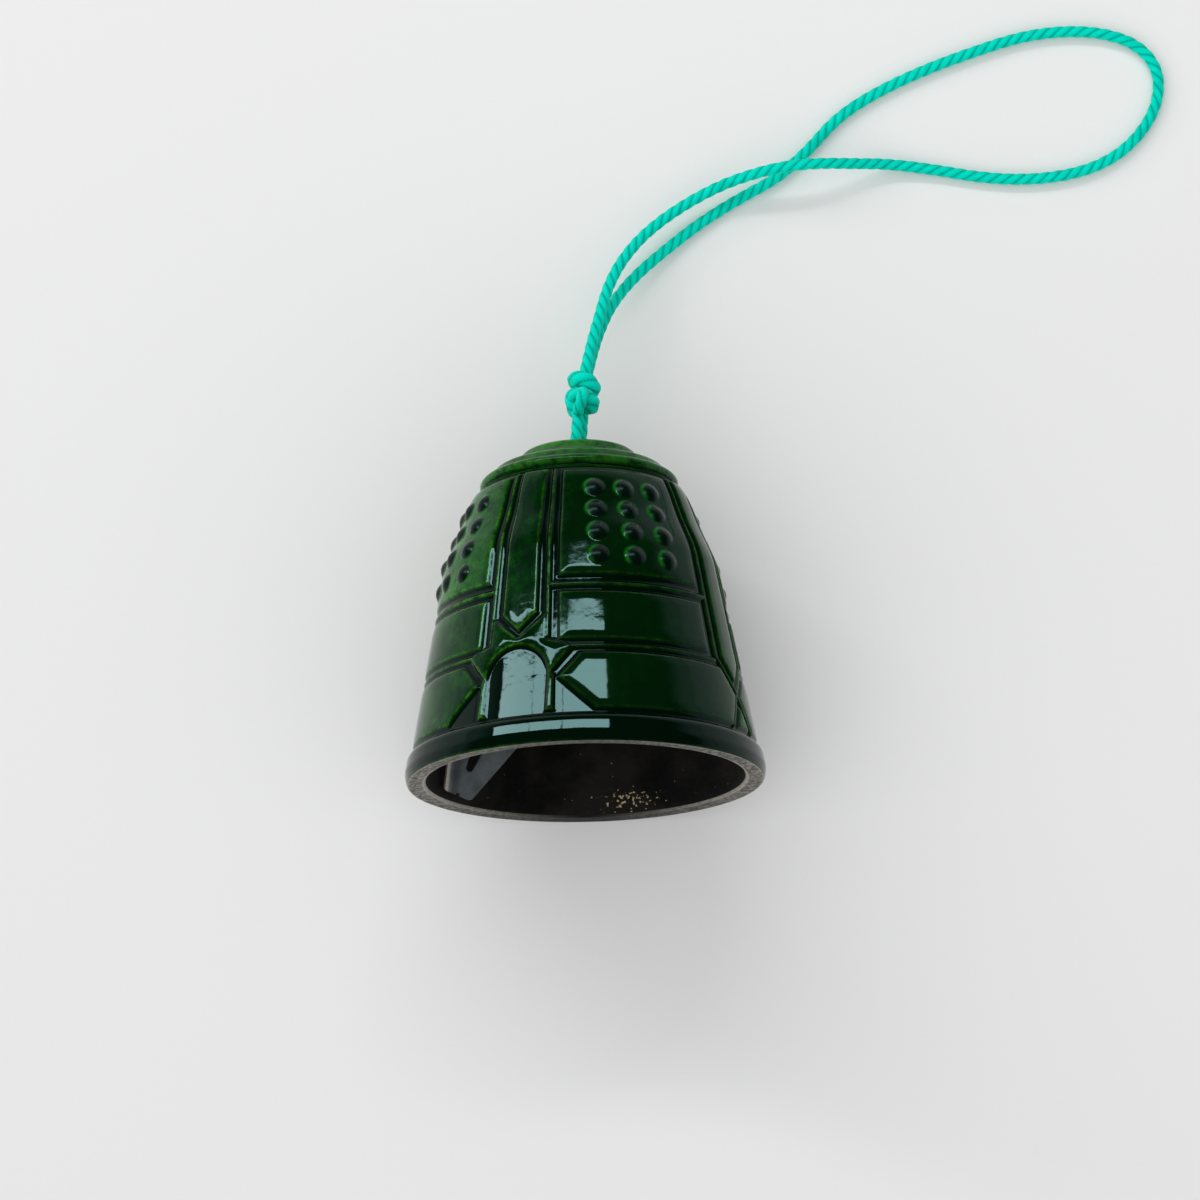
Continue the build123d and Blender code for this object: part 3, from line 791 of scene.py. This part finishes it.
def build_neck():
    """The two strands from the knot to the crown, and on through its hole."""
    knot_side = KNOT_CENTRE - NECK_ALONG * knot_half_length_mm * MM
    roof = on_bell(np.array(0.0), np.array(roof_height_mm), 0.0)
    neck_steps = stacked_steps(NECK_ALONG)
    crown_steps = stacked_steps(ALONG)
    for index, (neck_step, crown_step) in enumerate(zip(neck_steps, crown_steps)):
        line = np.array([NECK_PIVOT + neck_step, knot_side + neck_step])
        neck = laid_cord(f"neck_strand_{index + 1}", line, "cord_neck", start_turn=index)
        line = np.array([roof + crown_step, NECK_PIVOT + crown_step])
        crown = laid_cord(f"crown_strand_{index + 1}", line, "bell", start_turn=index)
        if index == 0:
            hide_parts("neck_cord")
            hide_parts("crown_cord")


def build_stop_knot():
    """The knot under the crown."""
    centre = on_bell(np.array(0.0), np.array(stop_knot_height_mm), 0.0)
    size = stop_knot_radius_mm / (knot_half_length_mm - knot_end_gap_mm)
    line = spline_line(knot_places(wrap_places(), centre, size))
    knot = laid_cord("stop_knot_wraps", line, "bell", thickness=knot_wrap_thickness)
    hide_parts("stop_knot")


# Clapper's cord: shares are of its knot's radius
STRAND_START_SHARE = 0.6
EYE_POINTS = 25
CLAPPER_KNOT_TURNS = 1.6
CLAPPER_KNOT_POINTS = 20
CLAPPER_KNOT_RISE_SHARE = 0.9
CLAPPER_KNOT_ROUND_SHARE = 0.5


def build_clapper_cord():
    """The clapper's strand, its knot and the eye of cord through the clapper's hole."""
    pivot = np.array(joints["clapper_swing"]["pos_m"])
    eye = np.array(joints["clapper_tip"]["pos_m"])
    cord_up = unit(pivot - eye)
    through = unit(np.cross(cord_up, np.array(joints["clapper_tip"]["axis"])))
    ring = eye_ring_radius_mm * MM
    knot_size = clapper_knot_radius_mm * MM
    knot_centre = eye + cord_up * (ring + knot_size / 2)
    strand_start = knot_centre + cord_up * knot_size * STRAND_START_SHARE
    strand = laid_cord("clapper_strand", np.array([strand_start, pivot]), "clapper_string")
    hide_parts("clapper_cord")
    angles = np.linspace(0.0, FULL_TURN, EYE_POINTS)
    circle = eye + ring * (np.sin(angles)[:, None] * through + np.cos(angles)[:, None] * cord_up)
    eye_piece = laid_cord("clapper_eye", circle, "clapper_string")
    turns = np.linspace(0.0, CLAPPER_KNOT_TURNS, CLAPPER_KNOT_POINTS)
    side = np.cross(cord_up, through)
    raised = (turns[:, None] - CLAPPER_KNOT_TURNS / 2) * cord_up * knot_size * CLAPPER_KNOT_RISE_SHARE
    wrap = knot_centre + raised + knot_size * CLAPPER_KNOT_ROUND_SHARE * (
        np.cos(turns * FULL_TURN)[:, None] * through + np.sin(turns * FULL_TURN)[:, None] * side
    )
    laid_cord("clapper_knot_wraps", wrap, "clapper_string")
    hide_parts("clapper_knot")


build_hanging_loop()
build_knot()
build_neck()
build_stop_knot()
build_clapper_cord()

# Bell casting

RIM, OUTSIDE, BODY, INSIDE = range(4)


def straight(start, end, step_mm):
    """Points along a straight run, without its last one."""
    count = max(1, int(round(hypot(end[0] - start[0], end[1] - start[1]) / step_mm)))
    shares = np.arange(count)[:, None] / count
    return np.array(start) + shares * (np.array(end) - np.array(start))


def arc(centre, radius_mm, angle_from, angle_to, step_mm):
    """Points along an arc, without its last one."""
    count = max(2, int(round(abs(angle_to - angle_from) * radius_mm / step_mm)))
    angles = angle_from + np.arange(count) / count * (angle_to - angle_from)
    return np.array(centre) + radius_mm * np.stack([np.cos(angles), np.sin(angles)], axis=1)


def body_line(depth_mm, height_from, height_to, step_mm):
    """Points of the bell's side at a depth, without the last one."""
    count = max(2, int(round(abs(height_to - height_from) / (step_mm * cos(body_slope)))))
    heights = height_from + np.arange(count) / count * (height_to - height_from)
    return np.array([under_surface(height, depth_mm) for height in heights])


def lip_point(angle):
    """A point of the lip's round profile, as a radius and a height."""
    return lip_centre_radius_mm + lip_round_mm * cos(angle), lip_height_mm + lip_round_mm * sin(angle)


def casting_outline():
    """The casting's closed outline as radii and heights, from the rim over the crown and back inside."""
    step = outside_step_mm
    lip_low = -asin(lip_height_mm / lip_round_mm)
    lip_high = asin((torus_height_mm - lip_height_mm) / lip_round_mm)
    lip_face_low = body_slope - lip_face_half_angle
    lip_face_high = body_slope + lip_face_half_angle
    mouth_edge_mm = wall_mm * sin(body_slope)
    torus_edge = lip_point(lip_high)[0]
    foot = under_surface(relief_base_mm, relief_depth_mm)
    shoulder = under_surface(shoulder_height_mm, relief_depth_mm)
    bead_middle = (bead_radius_mm - bead_round_mm, bead_height_mm)
    bead_foot = (bead_middle[0], bead_middle[1] - bead_round_mm)
    bead_top = (bead_middle[0], bead_middle[1] + bead_round_mm)
    crown = [
        bead_top, (step_foot_radius_mm, step_foot_height_mm), (step_top_radius_mm, step_top_height_mm),
        (cap_foot_radius_mm, cap_foot_height_mm), (cap_edge_radius_mm, cap_edge_height_mm),
        (cap_top_radius_mm, crown_height_mm), (cord_hole_radius_mm, crown_height_mm),
    ]
    runs = [
        (RIM, straight((under_surface(mouth_edge_mm, wall_mm)[0], rim_slant_mm), (face_radius_mm, 0), step)),
        (OUTSIDE, arc((lip_centre_radius_mm, lip_height_mm), lip_round_mm, lip_low, lip_face_low, step)),
        (OUTSIDE, straight(lip_point(lip_face_low), lip_point(lip_face_high), step)),
        (OUTSIDE, arc((lip_centre_radius_mm, lip_height_mm), lip_round_mm, lip_face_high, lip_high, step)),
        (OUTSIDE, straight((torus_edge, torus_height_mm), foot, step)),
        (BODY, body_line(relief_depth_mm, relief_base_mm, shoulder_height_mm, step)),
        (OUTSIDE, straight(shoulder, bead_foot, step)),
        (OUTSIDE, arc(bead_middle, bead_round_mm, -pi / 2, pi / 2, step)),
    ]
    for start, end in zip(crown, crown[1:]):
        runs.append((OUTSIDE, straight(start, end, step)))
    roof = (roof_radius_mm, roof_height_mm)
    runs += [
        (OUTSIDE, straight(crown[-1], (cord_hole_radius_mm, roof_height_mm), inside_step_mm)),
        (INSIDE, straight((cord_hole_radius_mm, roof_height_mm), roof, inside_step_mm)),
        (INSIDE, straight(roof, under_surface(shoulder_height_mm, wall_mm), inside_step_mm)),
        (INSIDE, body_line(wall_mm, shoulder_height_mm, mouth_edge_mm + rim_slant_mm, inside_step_mm)),
    ]
    zones = np.concatenate([np.full(len(points), zone) for zone, points in runs])
    return np.concatenate([points for _, points in runs]), zones


def softened(outline):
    """The outline with each point drawn towards its two neighbours."""
    return (np.roll(outline, 1, axis=0) + 2 * outline + np.roll(outline, -1, axis=0)) / 4


def rounded(outline, zones, passes):
    """The outline with its corners softened, except along the body."""
    free = (zones != BODY)[:, None]
    for _ in range(passes):
        outline = np.where(free, softened(outline), outline)
    return outline


def to_segment(start, end, across_mm, rise_mm):
    """Each point's distance to a straight segment in millimetres."""
    run_x = end[0] - start[0]
    run_y = end[1] - start[1]
    share = ((across_mm - start[0]) * run_x + (rise_mm - start[1]) * run_y) / (run_x ** 2 + run_y ** 2)
    share = np.clip(share, 0.0, 1.0)
    return np.hypot(across_mm - start[0] - share * run_x, rise_mm - start[1] - share * run_y)


def to_outline(corners, across_mm, rise_mm):
    """Each point's distance to a shape in millimetres, less than zero inside it."""
    nearest = np.full(across_mm.shape, np.inf)
    inside = np.zeros(across_mm.shape, dtype=bool)
    for start, end in zip(corners, corners[1:] + corners[:1]):
        nearest = np.minimum(nearest, to_segment(start, end, across_mm, rise_mm))
        if end[1] - start[1]:
            crossed = (start[1] > rise_mm) != (end[1] > rise_mm)
            border = start[0] + (rise_mm - start[1]) * (end[0] - start[0]) / (end[1] - start[1])
            inside ^= crossed & (across_mm < border)
    return np.where(inside, -nearest, nearest)


def band_outline(angle_from, angle_to, shares):
    """A field between two angles and two shares of height."""
    return [(angle_from, shares[0]), (angle_to, shares[0]), (angle_to, shares[1]), (angle_from, shares[1])]


def strap_outline(middle_angle, shares):
    """A strap with a pointed foot."""
    tip_share, corner_share = shares
    left = middle_angle - strap_half_angle
    right = middle_angle + strap_half_angle
    return [(middle_angle, tip_share), (right, corner_share), (right, strap_top_share),
            (left, strap_top_share), (left, corner_share)]


def ornament_distance(folded_angle, radius_mm, rise_mm, rise_of_share):
    """The distance to the nearest edge of the raised ornament, less than zero on it."""
    across_mm = radius_mm * np.radians(folded_angle)

    def placed(places):
        return [(radius_mm * radians(angle), rise_of_share(share)) for angle, share in places]

    def shape(places):
        return to_outline(placed(places), across_mm, rise_mm)

    def bar(*ends):
        return to_segment(*placed(ends), across_mm, rise_mm) - cross_bar_half_width_mm

    far_edge = QUARTER_ROUND - panel_edge_angle
    far_rib = QUARTER_ROUND - rib_angle
    mirrored_web = [(-angle, share) for angle, share in reversed(web_half_outline_shares) if angle]
    spring_mm = rise_of_share(arch_spring_share)
    above_spring = np.hypot(across_mm, rise_mm - spring_mm)
    arch = np.where(rise_mm > spring_mm, above_spring, np.abs(across_mm)) - arch_radius_mm
    crossing = (QUARTER_ROUND, crossing_share)
    return np.minimum.reduce([
        shape(strap_outline(0, arch_strap_shares)),
        shape(strap_outline(QUARTER_ROUND, cross_strap_shares)),
        shape(band_outline(rib_angle - rib_half_angle, rib_angle + rib_half_angle,
                           (web_rib_share, strap_top_share))),
        shape(band_outline(far_rib - rib_half_angle, far_rib + rib_half_angle,
                           (cross_strap_shares[1], strap_top_share))),
        shape(band_outline(panel_edge_angle, far_edge, stud_panel_shares)),
        shape(band_outline(panel_edge_angle, far_edge, plain_panel_shares)),
        shape(band_outline(rib_angle, far_rib, upper_ledge_shares)),
        shape(band_outline(web_half_outline_shares[3][0], far_rib, lower_ledge_shares)),
        shape(list(bar_outline_shares)),
        np.maximum(shape(list(web_half_outline_shares) + mirrored_web), -arch),
        bar((far_rib, cross_strap_shares[1]), crossing),
        bar(crossing, (QUARTER_ROUND - cross_foot_angle, cross_foot_share)),
        shape([(QUARTER_ROUND, gusset_share), (QUARTER_ROUND + gusset_half_angle, cross_foot_share),
               (QUARTER_ROUND - gusset_half_angle, cross_foot_share)]),
    ])


def stud_offsets(folded_angle, radius_mm, rise_mm, rise_of_share):
    """How far each point lies across and along from each stud's middle."""
    return [
        (radius_mm * np.radians(folded_angle - angle), rise_mm - rise_of_share(share))
        for angle in stud_angles for share in stud_row_shares
    ]


def stud_height(offsets):
    """How far the studs stand out of their panels."""
    height = 0.0
    for across, along in offsets:
        under = np.clip(1 - (np.hypot(across, along) / stud_foot_mm) ** 2, 0.0, 1.0)
        height = np.maximum(height, stud_top_mm * under ** STUD_STEEPNESS)
    return height


def stud_crescents(offsets, leftward):
    """1 in the painted lit crescent on the left of each stud's foot, 0 elsewhere."""
    inner, middle, outer = crescent_radii_mm
    crescent = 0.0
    for across, along in offsets:
        off = np.hypot(across, along)
        ring = smooth_step(off, inner, middle) * (1 - smooth_step(off, middle, outer))
        to_left = (across * leftward + along / CRESCENT_LEAN) / np.maximum(off, inner)
        crescent = np.maximum(crescent, ring * smooth_step(to_left, *CRESCENT_SIDE))
    return crescent


def blurred(values, rows_wide, columns_wide):
    """The values of a grid blurred by so many rows and columns; it wraps round at its edges."""
    row_waves = np.fft.fftfreq(values.shape[0])[:, None]
    column_waves = np.fft.fftfreq(values.shape[1])[None, :]
    spread = (row_waves * rows_wide) ** 2 + (column_waves * columns_wide) ** 2
    return np.fft.ifft2(np.fft.fft2(values) * np.exp(-2 * pi ** 2 * spread)).real


def build_casting():
    """The bell's casting as one closed skin."""
    outline, zones = casting_outline()
    outline = rounded(outline, zones, outline_rounding_passes)
    rows = len(outline)
    tangents = np.roll(outline, -1, axis=0) - np.roll(outline, 1, axis=0)
    tangents /= np.linalg.norm(tangents, axis=1)[:, None]
    normals = np.stack([tangents[:, 1], -tangents[:, 0]], axis=1)
    steps = np.linalg.norm(np.diff(outline, axis=0), axis=1)
    rise = np.concatenate([[0.0], np.cumsum(steps)])
    body = np.flatnonzero(zones == BODY)
    body_heights = outline[body, 1]

    def rise_of_share(share):
        height = under_surface(share_height(share), relief_depth_mm)[1]
        return float(np.interp(height, body_heights, rise[body]))

    angles = np.arange(COLUMNS) / COLUMNS * DEGREES_ROUND
    from_strap = (angles - arch_strap_angle) % HALF_ROUND
    folded = QUARTER_ROUND - np.abs(from_strap - QUARTER_ROUND)
    folded_grid = np.broadcast_to(folded, (len(body), COLUMNS))
    radius = outline[body, :1]
    body_rise = np.broadcast_to(rise[body][:, None], folded_grid.shape)
    distance = ornament_distance(folded_grid, radius, body_rise, rise_of_share)
    raised = smooth_step(-distance, -ramp_outside_mm, ramp_inside_mm)
    offsets = stud_offsets(folded_grid, radius, body_rise, rise_of_share)
    studs = stud_height(offsets)
    # Painted light: lit crescents on the left of each stud's foot
    leftward = np.where(from_strap < QUARTER_ROUND, -1.0, 1.0)
    crescents = stud_crescents(offsets, leftward)
    lift = np.zeros((rows, COLUMNS))
    lift[body] = raised * relief_depth_mm
    columns_wide = ridge_blur_mm / (radius.mean() * FULL_TURN / COLUMNS)
    ridge = lift - blurred(lift, ridge_blur_mm / outside_step_mm, columns_wide)
    lift[body] += studs + face_crown_mm * smooth_step(-distance, 0.0, face_crown_width_mm)
    ease_low, ease_high = shoulder_ease_heights_mm
    ease_share = np.clip((body_heights - ease_low) / (ease_high - ease_low), 0.0, 1.0)
    lift[body] -= (shoulder_ease_mm * (1 - np.cos(FULL_TURN * ease_share)) / 2)[:, None]
    soft_outline = outline
    for _ in range(int(2 * (ridge_blur_mm / outside_step_mm) ** 2)):
        soft_outline = softened(soft_outline)
    ridge += np.sum((outline - soft_outline) * normals, axis=1)[:, None]
    waves = np.random.default_rng(CASTING_SEED).normal(size=lift.shape)
    waves = blurred(waves, casting_wave_length_mm / outside_step_mm, casting_wave_length_mm / outside_step_mm)
    lift += waves / waves.std() * casting_wave_mm * (zones != RIM)[:, None]
    radius_grid = outline[:, :1] + lift * normals[:, :1]
    height_grid = outline[:, 1:] + lift * normals[:, 1:]
    angle_grid = np.broadcast_to(np.radians(angles), radius_grid.shape)
    points = on_bell(radius_grid, height_grid, angle_grid).reshape(-1, 3)
    faces = grid_faces(rows, COLUMNS, True)
    casting = mesh_piece("bell_casting", points, faces.tolist(), "bell",
                         [lacquer_material(), rim_material(), inside_material()])
    slot_of_zone = {RIM: 1, OUTSIDE: 0, BODY: 0, INSIDE: 2}
    row_slots = np.array([slot_of_zone[zone] for zone in zones])
    casting.data.polygons.foreach_set("material_index", np.repeat(row_slots, COLUMNS))
    raised_grid = np.broadcast_to((outline[:, 1] > shoulder_height_mm)[:, None], lift.shape).astype(float)
    raised_grid[body] = raised
    stud_top = np.zeros(lift.shape)
    stud_top[body] = smooth_step(studs, *(stud_top_mm * share for share in STUD_DARK_SHARES))
    from_top = np.radians(angles) + pi / 2
    # Painted light and shade: masks by angle round the bell and by height, paler on the flanks, crown and
    # near left and darker towards the foot
    height_share = np.clip(outline[:, 1] / shoulder_height_mm, 0.0, 1.0)[:, None]
    flank = np.sin(from_top)[None, :]
    left_rise = smooth_step(outline[:, 1:], *left_pale_heights_mm)
    left_flank = smooth_step(-flank, *LEFT_FLANK) * (LEFT_FOOT_SHARE + (1 - LEFT_FOOT_SHARE) * left_rise)
    right_flank = smooth_step(flank, *RIGHT_FLANK)
    crown = smooth_step(outline[:, 1:], crown_foot_mm, crown_height_mm)
    near_left = smooth_step(-flank, *NEAR_LEFT)
    dark_side = DARK_SIDE_SHARE * (DARK_FOOT_SHARE + (1 - DARK_FOOT_SHARE) * height_share)
    painted_side_light = dark_side + NEAR_LEFT_SHARE * near_left
    pale = np.maximum(np.maximum(left_flank, RIGHT_FLANK_SHARE * right_flank), crown)
    painted_side_light = np.maximum(painted_side_light, pale)
    # Painted light and shade on the rim, by its angle from the bell's top
    side = np.abs(np.sin(from_top)) ** RIM_SIDE_POWER
    rim_painted_light = side + RIM_TOP_SHARE * np.maximum(np.cos(from_top), 0.0) ** 2
    rim_painted_light = np.broadcast_to(np.clip(rim_painted_light, 0.0, 1.0)[None, :], lift.shape)
    flakes = np.exp(-((from_top[None, :] - FLAKES_TURN) / FLAKES_SPREAD) ** 2
                    - ((outline[:, 1:] - flakes_height_mm) / flakes_depth_mm) ** 2)
    crescent_grid = np.zeros(lift.shape)
    crescent_grid[body] = crescents
    kept = {
        "ridge": ridge, "raised": raised_grid, "stud_top": stud_top, "crescent": crescent_grid,
        "painted_side_light": np.clip(painted_side_light, 0.0, 1.0), "pale": np.broadcast_to(pale, lift.shape),
        "rim_painted_light": rim_painted_light, "flakes": flakes,
    }
    for name, values in kept.items():
        add_values(casting, name, values)
    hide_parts("bell_shell")


build_casting()

# Clapper plate: the CAD's own shape, with its cut edges rounded

PLATE_EDGE_ROUND = 0.00022
PLATE_EDGE_STEPS = 3
plate_foot_half_mm = 2.3
plate_shoulder_half_mm = 6.2
plate_shoulder_height_mm = 12.0
eye_over_plate_foot_mm = 16.4


def dress_clapper():
    """The clapper's rounded edges and its metal."""
    plate = frame["nodes"]["clapper_plate"]
    rounding = plate.modifiers.new("rounded_edges", "BEVEL")
    rounding.width = PLATE_EDGE_ROUND
    rounding.segments = PLATE_EDGE_STEPS
    rounding.limit_method = "ANGLE"
    width = np.array(joints["clapper_tip"]["axis"])
    eye = np.array(joints["clapper_tip"]["pos_m"])
    upward = unit(np.array(joints["clapper_swing"]["pos_m"]) - eye)
    foot = eye - upward * eye_over_plate_foot_mm * MM
    corner = foot + width * plate_foot_half_mm * MM
    spread = atan2(plate_shoulder_half_mm - plate_foot_half_mm, plate_shoulder_height_mm)
    inward = sin(spread) * upward - cos(spread) * width
    to_own = plate.matrix_world.inverted()
    metal = sheet_material(to_own @ Vector(corner), to_own.to_3x3() @ Vector(inward))
    for material_slot in plate.material_slots:
        material_slot.material = metal


dress_clapper()

# Floor, lights and world

FLOOR_HALF_SIZE = 1.5
FLOOR_DROP = 0.00002
FLOOR_WHITE = 0.86
FLOOR_WARM_SHARES = (0.985, 0.985, 0.99)

# Window light: panes whose reflections show on the bell. A pane spans two angles in degrees from the bell's
# top towards +X. Its lower edge is set for a height on a plain cone; on the bell it shows some 5 mm higher.
PANE_ANGLES = ((-29.0, -17.0), (-17.0, -7.0), (-7.0, 8.0))
PANE_EDGE_HEIGHTS_MM = (13.0, 15.5, 19.5)
PANE_DISTANCE = 1.2
GLEAM_DISTANCE = 1.18
PANE_HEIGHT = 0.10
PANE_RADIANCE = 10.0
PANE_GLEAM = 13.0
ROOM_ZENITH = 1.06
ROOM_HORIZON = 0.50
ROOM_BAND = (0.0, 0.75)
ROOM_FRONT_SHARE = 0.52
ROOM_LEFT_SHARE = 0.42
BACKDROP_ZENITH = 0.02
BACKDROP_HORIZON = 0.70
BACKDROP_BAND = (0.08, 0.30)


def build_floor():
    """The plain pale surface that the bell lies on."""
    half = FLOOR_HALF_SIZE
    mesh = bpy.data.meshes.new("floor")
    corners = [(x, y, -FLOOR_DROP) for x, y in ((-half, -half), (half, -half), (half, half), (-half, half))]
    mesh.from_pydata(corners, [], [(0, 1, 2, 3)])
    floor = new_object("floor", mesh)
    material, tree, shader = new_material("pale_paper")
    fibre = noise(tree, place_of(tree), 900.0, 3.0, 0.6)
    white = colour(FLOOR_WHITE, FLOOR_WHITE, FLOOR_WHITE)
    warm = colour(*(FLOOR_WHITE * share for share in FLOOR_WARM_SHARES))
    set_inputs(tree, shader, {
        "Base Color": mix(tree, fibre, white, warm),
        "Roughness": 0.8,
        "Specular IOR Level": 0.2,
    })
    mesh.materials.append(material)


def mirrored_ray(angle, height_mm):
    """A place on the bell's straight side, and the direction in which it mirrors the camera's view."""
    around = radians(angle) - pi / 2
    place = on_bell(np.array(surface_radius(height_mm)), np.array(height_mm), around)
    outward = np.cos(around) * ACROSS - np.sin(around) * UPWARD
    normal = cos(body_slope) * outward + sin(body_slope) * ALONG
    to_camera = unit(np.array(bpy.context.scene.camera.matrix_world.translation) - place)
    return place, 2 * np.dot(normal, to_camera) * normal - to_camera


def light_pane(name, angles, edge_height_mm, distance, radiance, gleam_only=False):
    """A pane of window light whose lower edge is mirrored at a height between two angles."""
    rays = [mirrored_ray(angle, edge_height_mm) for angle in angles]
    (left_place, left_ray), (right_place, right_ray) = rays
    left = left_place + left_ray * distance
    right = right_place + right_ray * distance
    back = unit(left_ray + right_ray)
    edge = unit(left - right)
    back = unit(back - edge * np.dot(back, edge))
    up = np.cross(back, edge)
    width = float(np.linalg.norm(left - right))
    data = bpy.data.lights.new(name, "AREA")
    data.shape = "RECTANGLE"
    data.size = width
    data.size_y = PANE_HEIGHT
    data.energy = radiance * pi * width * PANE_HEIGHT
    pane = new_object(name, data)
    stand(pane, (left + right) / 2 + up * PANE_HEIGHT / 2, edge, up, back)
    pane.visible_diffuse = not gleam_only


def light_scene():
    """The window's panes, and a world that surfaces and views see differently.

    It lights the surfaces most from overhead and from the front left. Camera, gloss and glass see a backdrop
    that is pale along the horizon and dark overhead.
    """
    for index, (angles, height_mm) in enumerate(zip(PANE_ANGLES, PANE_EDGE_HEIGHTS_MM)):
        light_pane(f"pane_{index + 1}", angles, height_mm, PANE_DISTANCE, PANE_RADIANCE)
        light_pane(f"gleam_{index + 1}", angles, height_mm, GLEAM_DISTANCE, PANE_GLEAM, gleam_only=True)
    world = bpy.data.worlds.new("studio")
    bpy.context.scene.world = world
    world.use_nodes = True
    tree = world.node_tree
    tree.nodes.clear()
    direction = add_node(tree, "TexCoord").outputs["Generated"]
    parts = add_node(tree, "SeparateXYZ", {"Vector": direction}).outputs
    height = parts["Z"]

    def by_height(band, horizon, zenith):
        """A strength that goes smoothly from the horizon's to the zenith's."""
        return between(tree, blend(tree, height, *band), horizon, zenith)

    rays = add_node(tree, "LightPath").outputs
    seen = maths(tree, "MAXIMUM", rays["Is Camera Ray"], rays["Is Glossy Ray"])
    seen = maths(tree, "MAXIMUM", seen, rays["Is Transmission Ray"])
    front = maths(tree, "SUBTRACT", 1.0, multiply(tree, parts["Y"], ROOM_FRONT_SHARE))
    front_left = maths(tree, "SUBTRACT", front, multiply(tree, parts["X"], ROOM_LEFT_SHARE))
    even = multiply(tree, by_height(ROOM_BAND, ROOM_HORIZON, ROOM_ZENITH), front_left)
    room = add_node(tree, "Background", {"Strength": even})
    backdrop = by_height(BACKDROP_BAND, BACKDROP_HORIZON, BACKDROP_ZENITH)
    backdrop = add_node(tree, "Background", {"Strength": backdrop})
    both = add_node(tree, "MixShader", {0: seen, 1: room.outputs[0], 2: backdrop.outputs[0]})
    add_node(tree, "OutputWorld", {"Surface": both.outputs[0]})


build_floor()
light_scene()
bpy.context.scene.view_settings.view_transform = "Standard"
